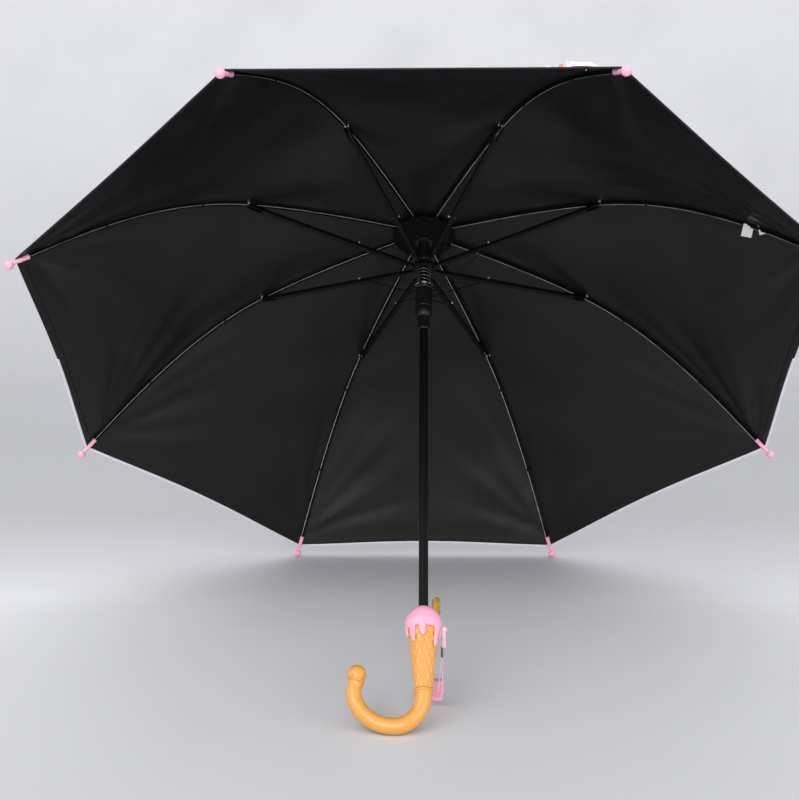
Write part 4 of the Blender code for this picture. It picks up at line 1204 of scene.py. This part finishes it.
def make_cone():
    seat = CONE_SEAT
    foot = CONE_BOTTOM
    bore = SHAFT_RADIUS + CLEARANCE
    rows = 120
    outer = [(cone_radius(seat - (seat - foot) * i / rows),
              seat - (seat - foot) * i / rows) for i in range(rows + 1)]
    outline = outer + [(0, foot), (0, SHAFT_BOTTOM - CLEARANCE), (bore, SHAFT_BOTTOM - CLEARANCE), (bore,
                                                                                                    seat)]
    shape = lathe(outline, 180, ring=True)
    for vert in shape.verts:
        reach = vert.co.xy.length
        if reach < cone_radius(vert.co.z) - 0.0004 or not foot + 0.0012 < vert.co.z < seat - 0.003:
            continue
        dip = WAFFLE_DEPTH * waffle(math.atan2(vert.co.y, vert.co.x), vert.co.z)
        vert.co.xy *= (reach - dip) / reach
    piece("wafer_cone", shape, "handle", [WAFER], "waffle_cone", UMBRELLA, 60)


def make_hook():
    """A raised ring, a smooth bend and a ball with two fine rings under it."""
    top = CONE_BOTTOM - CLEARANCE
    ring = HOOK_RING_RADIUS
    foot = top - HOOK_RING_HEIGHT
    lowest = foot - HOOK_DEPTH
    profile = [(0.0, ring - 0.0008), (0.0004, ring - 0.0002), (0.0010, ring), (0.0017, ring - 0.0001),
               (0.0021, ring - 0.0007), (0.0025, ring - 0.0007), (0.0029, ring - 0.0001), (0.0038, ring),
               (0.0046, ring - 0.0002), (0.0050, ring - 0.0007), (0.0053, HOOK_TUBE + 0.0001),
               (0.0060, HOOK_TUBE)]
    path = [((0, 0, top - depth), radius) for depth, radius in profile]
    quarter = 34
    for i in range(3, 2 * quarter + 1):
        turn = math.pi / 2 * (i if i <= quarter else i - quarter) / quarter
        if i <= quarter:
            place = (-HOOK_LOW_REACH * (1 - math.cos(turn)), 0, foot - HOOK_DEPTH * math.sin(turn))
        else:
            place = (-HOOK_LOW_REACH - (HOOK_REACH - HOOK_LOW_REACH) * math.sin(turn), 0,
                     lowest + HOOK_RISE * (1 - math.cos(turn)))
        path.append((place, HOOK_TUBE + (HOOK_TIP_TUBE - HOOK_TUBE) * i / (2 * quarter)))
    ball_z = lowest + HOOK_BALL_RISE
    neck = math.sqrt(HOOK_BALL ** 2 - (HOOK_TIP_TUBE + 0.0002) ** 2)
    side_z = lowest + HOOK_RISE
    rise = ball_z - neck - side_z
    rings = ((0.25, 0.0), (0.50, 0.0), (0.54, 0.0004), (0.61, 0.0005), (0.68, 0.0004), (0.72, 0.0), (0.78,
                                                                                                     0.0),
             (0.81, 0.0004), (0.86, 0.0005), (0.91, 0.0004), (0.95, 0.0001))
    for share, extra in rings:
        path.append((((HOOK_REACH - HOOK_BALL_REACH) * share - HOOK_REACH, 0, side_z + rise * share),
                     HOOK_TIP_TUBE + extra))
    low = -math.asin(neck / HOOK_BALL)
    high = math.radians(87)
    for i in range(25):
        angle = low + (high - low) * i / 24
        path.append(((-HOOK_BALL_REACH, 0, ball_z + HOOK_BALL * math.sin(angle)),
                     HOOK_BALL * math.cos(angle)))
    shape = tube([place for place, _ in path], 1.0, 48, [radius for _, radius in path])
    piece("hook", shape, "handle", [WAFER], "handle_hook", UMBRELLA, 50)


def drip_depth(angle):
    """How far the icing hangs below the dome's widest line: blunt drips with arches between them."""
    depth = SKIRT_PLAIN
    for degrees, length in DRIPS:
        turn = (angle - math.radians(degrees) + math.pi) % math.tau - math.pi
        depth += (length - SKIRT_PLAIN) / (1 + (abs(turn) / DRIP_HALF_ANGLE) ** 12)
    return depth


def make_cap():
    """The icing: a dome with a faint step, drips of unlike lengths, and the peg that the lanyard loops
    over."""
    bore = SHAFT_RADIUS + CLEARANCE
    seat = CONE_SEAT
    ceiling = seat + CLEARANCE
    deepest = max(length for _, length in DRIPS)
    start = math.acos(bore / CAP_RADIUS)
    step_angle = math.radians(2)
    dome = []
    for i in range(31):
        angle = start * (1 - i / 30)
        radius = CAP_RADIUS - 0.00035 * max(0.0, min(1.0, (angle - step_angle) / 0.035))
        dome.append((radius * math.cos(angle), CAP_CENTRE + radius * math.sin(angle)))
    skirt = [i / 26 for i in range(1, 27)]
    outer = [(cone_radius(CAP_CENTRE - deepest * s) + CLEARANCE + SKIRT_THICKNESS * math.sqrt(max(0.0,
                                                                                                  1 - s ** 5)),
              CAP_CENTRE - deepest * s) for s in skirt]
    inner = [(cone_radius(CAP_CENTRE - deepest * s) + CLEARANCE * 0.5, CAP_CENTRE - deepest * s)
             for s in [i / 8 for i in range(7, 0, -1)]]
    outline = dome + outer + inner + [(cone_radius(ceiling) + CLEARANCE, ceiling), (bore, ceiling)]
    shape = lathe(outline, 288, ring=True)
    lowest_plain = CAP_CENTRE - SKIRT_PLAIN / 2
    for vert in shape.verts:
        if vert.co.z >= lowest_plain:
            continue
        depth = drip_depth(math.atan2(vert.co.y, vert.co.x)) - SKIRT_PLAIN / 2
        share = (lowest_plain - vert.co.z) / (deepest - SKIRT_PLAIN / 2)
        extra = vert.co.xy.length - cone_radius(vert.co.z)
        vert.co.z = lowest_plain - depth * share
        vert.co.xy = vert.co.xy.normalized() * (cone_radius(vert.co.z) + extra)
    bmesh.ops.smooth_vert(shape, verts=[v for v in shape.verts if v.co.z < lowest_plain - 0.001
                                        and v.co.xy.length > cone_radius(v.co.z) + 0.0006],
                          factor=0.4, use_axis_x=True, use_axis_y=True, use_axis_z=True)
    cap = piece("icing", shape, "handle", [PINK], "icing_cap", UMBRELLA, 60)
    cut(cap, moved(block((0.0068, 0.0086, 0.0180)), UMBRELLA @ button_place()
                   @ shift(0, 0, -0.0055)))
    head = PEG_REACH + TAPE_WIDTH / 2 + CLEARANCE
    peg = rounded([(0, head + 0.0009), (0.0024, head + 0.0009), (0.0024, head), (PEG_RADIUS, head),
                   (PEG_RADIUS, CAP_RADIUS - 0.0012), (0, CAP_RADIUS - 0.0012)], 0.0003)
    peg_place = UMBRELLA @ shift(0, 0, CAP_CENTRE - 0.0060) @ Matrix.Rotation(math.pi / 2, 4, "Y")
    piece("lanyard_peg", lathe(peg, 32), "handle", [PINK], None, peg_place)


def button_place():
    place = (BUTTON_REACH * math.cos(BUTTON_ANGLE), BUTTON_REACH * math.sin(BUTTON_ANGLE),
             BUTTON_TOP - BUTTON_HEIGHT / 2)
    return Matrix.Translation(place) @ Matrix.Rotation(BUTTON_ANGLE, 4, "Z")


def make_button():
    """A push button cut like a gem, over its small spring."""
    shape = block((0.0062, 0.0080, BUTTON_HEIGHT), 0.0013, 1)
    sloped = [face for face in shape.faces if abs(face.normal.z) > 0.5 and face.calc_center_median().z > 0]
    bmesh.ops.inset_region(shape, faces=[f for f in sloped if abs(f.normal.z) > 0.99], thickness=0.0008,
                           depth=0.0)
    piece("gold_button", shape, "button", [GOLD], "release_button", UMBRELLA @ button_place(),
          12)
    top = -BUTTON_HEIGHT / 2 - CLEARANCE - 0.0003
    height = 0.0043
    count = 3 * 24
    points = [(0.0019 * math.cos(math.tau * i / 24), 0.0019 * math.sin(math.tau * i / 24),
               top - height * i / count)
              for i in range(count + 1)]
    spring = piece("button_coil", tube(points, 0.0003, 8), "handle", [SPRING], "button_spring",
                   UMBRELLA @ button_place(), 60)
    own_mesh(spring)


# ---------------------------------------------------------------- studio


def make_studio():
    """A pale floor that curves up into the wall behind, and soft lights."""
    shape = bmesh.new()
    bmesh.ops.create_grid(shape, x_segments=2, y_segments=60, size=1)
    for vert in shape.verts:
        share = (vert.co.y + 1) / 2
        reach = -4.0 + 9.0 * share
        bend = max(0.0, reach - 1.6)
        curve = min(bend, math.pi / 2 * 0.9)
        vert.co = Vector((vert.co.x * 6, min(reach, 1.6) + 0.9 * math.sin(curve / 0.9),
                          0.9 * (1 - math.cos(curve / 0.9)) + max(0.0, bend - curve)))
    mesh = bpy.data.meshes.new("studio_sweep")
    shape.to_mesh(mesh)
    shape.free()
    mesh.materials.append(studio_floor())
    mesh.shade_smooth()
    floor = bpy.data.objects.new("studio_sweep", mesh)
    bpy.context.scene.collection.objects.link(floor)

    lights = (("key", (-1.3, -1.4, 2.2), (0, 0.2, 0.1), 1.8, 18), ("fill", (1.8, -1.6, 1.2), (0, 0, 0.2),
                                                                   1.8, 12),
              ("top", (0.1, 0.9, 2.6), (0, 0.4, 0.0), 2.4, 4), ("front", (-0.3, -2.3, 1.0), (0, 0.1, 0.0),
                                                                1.6, 23))
    for name, place, target, size, power in lights:
        data = bpy.data.lights.new(name, "AREA")
        data.size = size
        data.energy = power
        item = bpy.data.objects.new(name, data)
        bpy.context.scene.collection.objects.link(item)
        item.location = place
        item.rotation_euler = (Vector(target) - Vector(place)).to_track_quat("-Z", "Y").to_euler()
    world = bpy.data.worlds.new("studio")
    bpy.context.scene.world = world
    bpy.context.scene.view_settings.view_transform = "Standard"
    world.use_nodes = True
    background = world.node_tree.nodes["Background"]
    background.inputs["Color"].default_value = (0.95, 0.96, 1.0, 1.0)
    background.inputs["Strength"].default_value = 0.92


make_camera()
make_lanyard()
make_studio()
make_shaft()
make_collar()
make_runner()
make_ribs()
make_tips()
make_canopy()
make_crown()
make_closing_strap()
make_labels()
make_stretchers()
make_wires()
make_cone()
make_hook()
make_cap()
make_button()
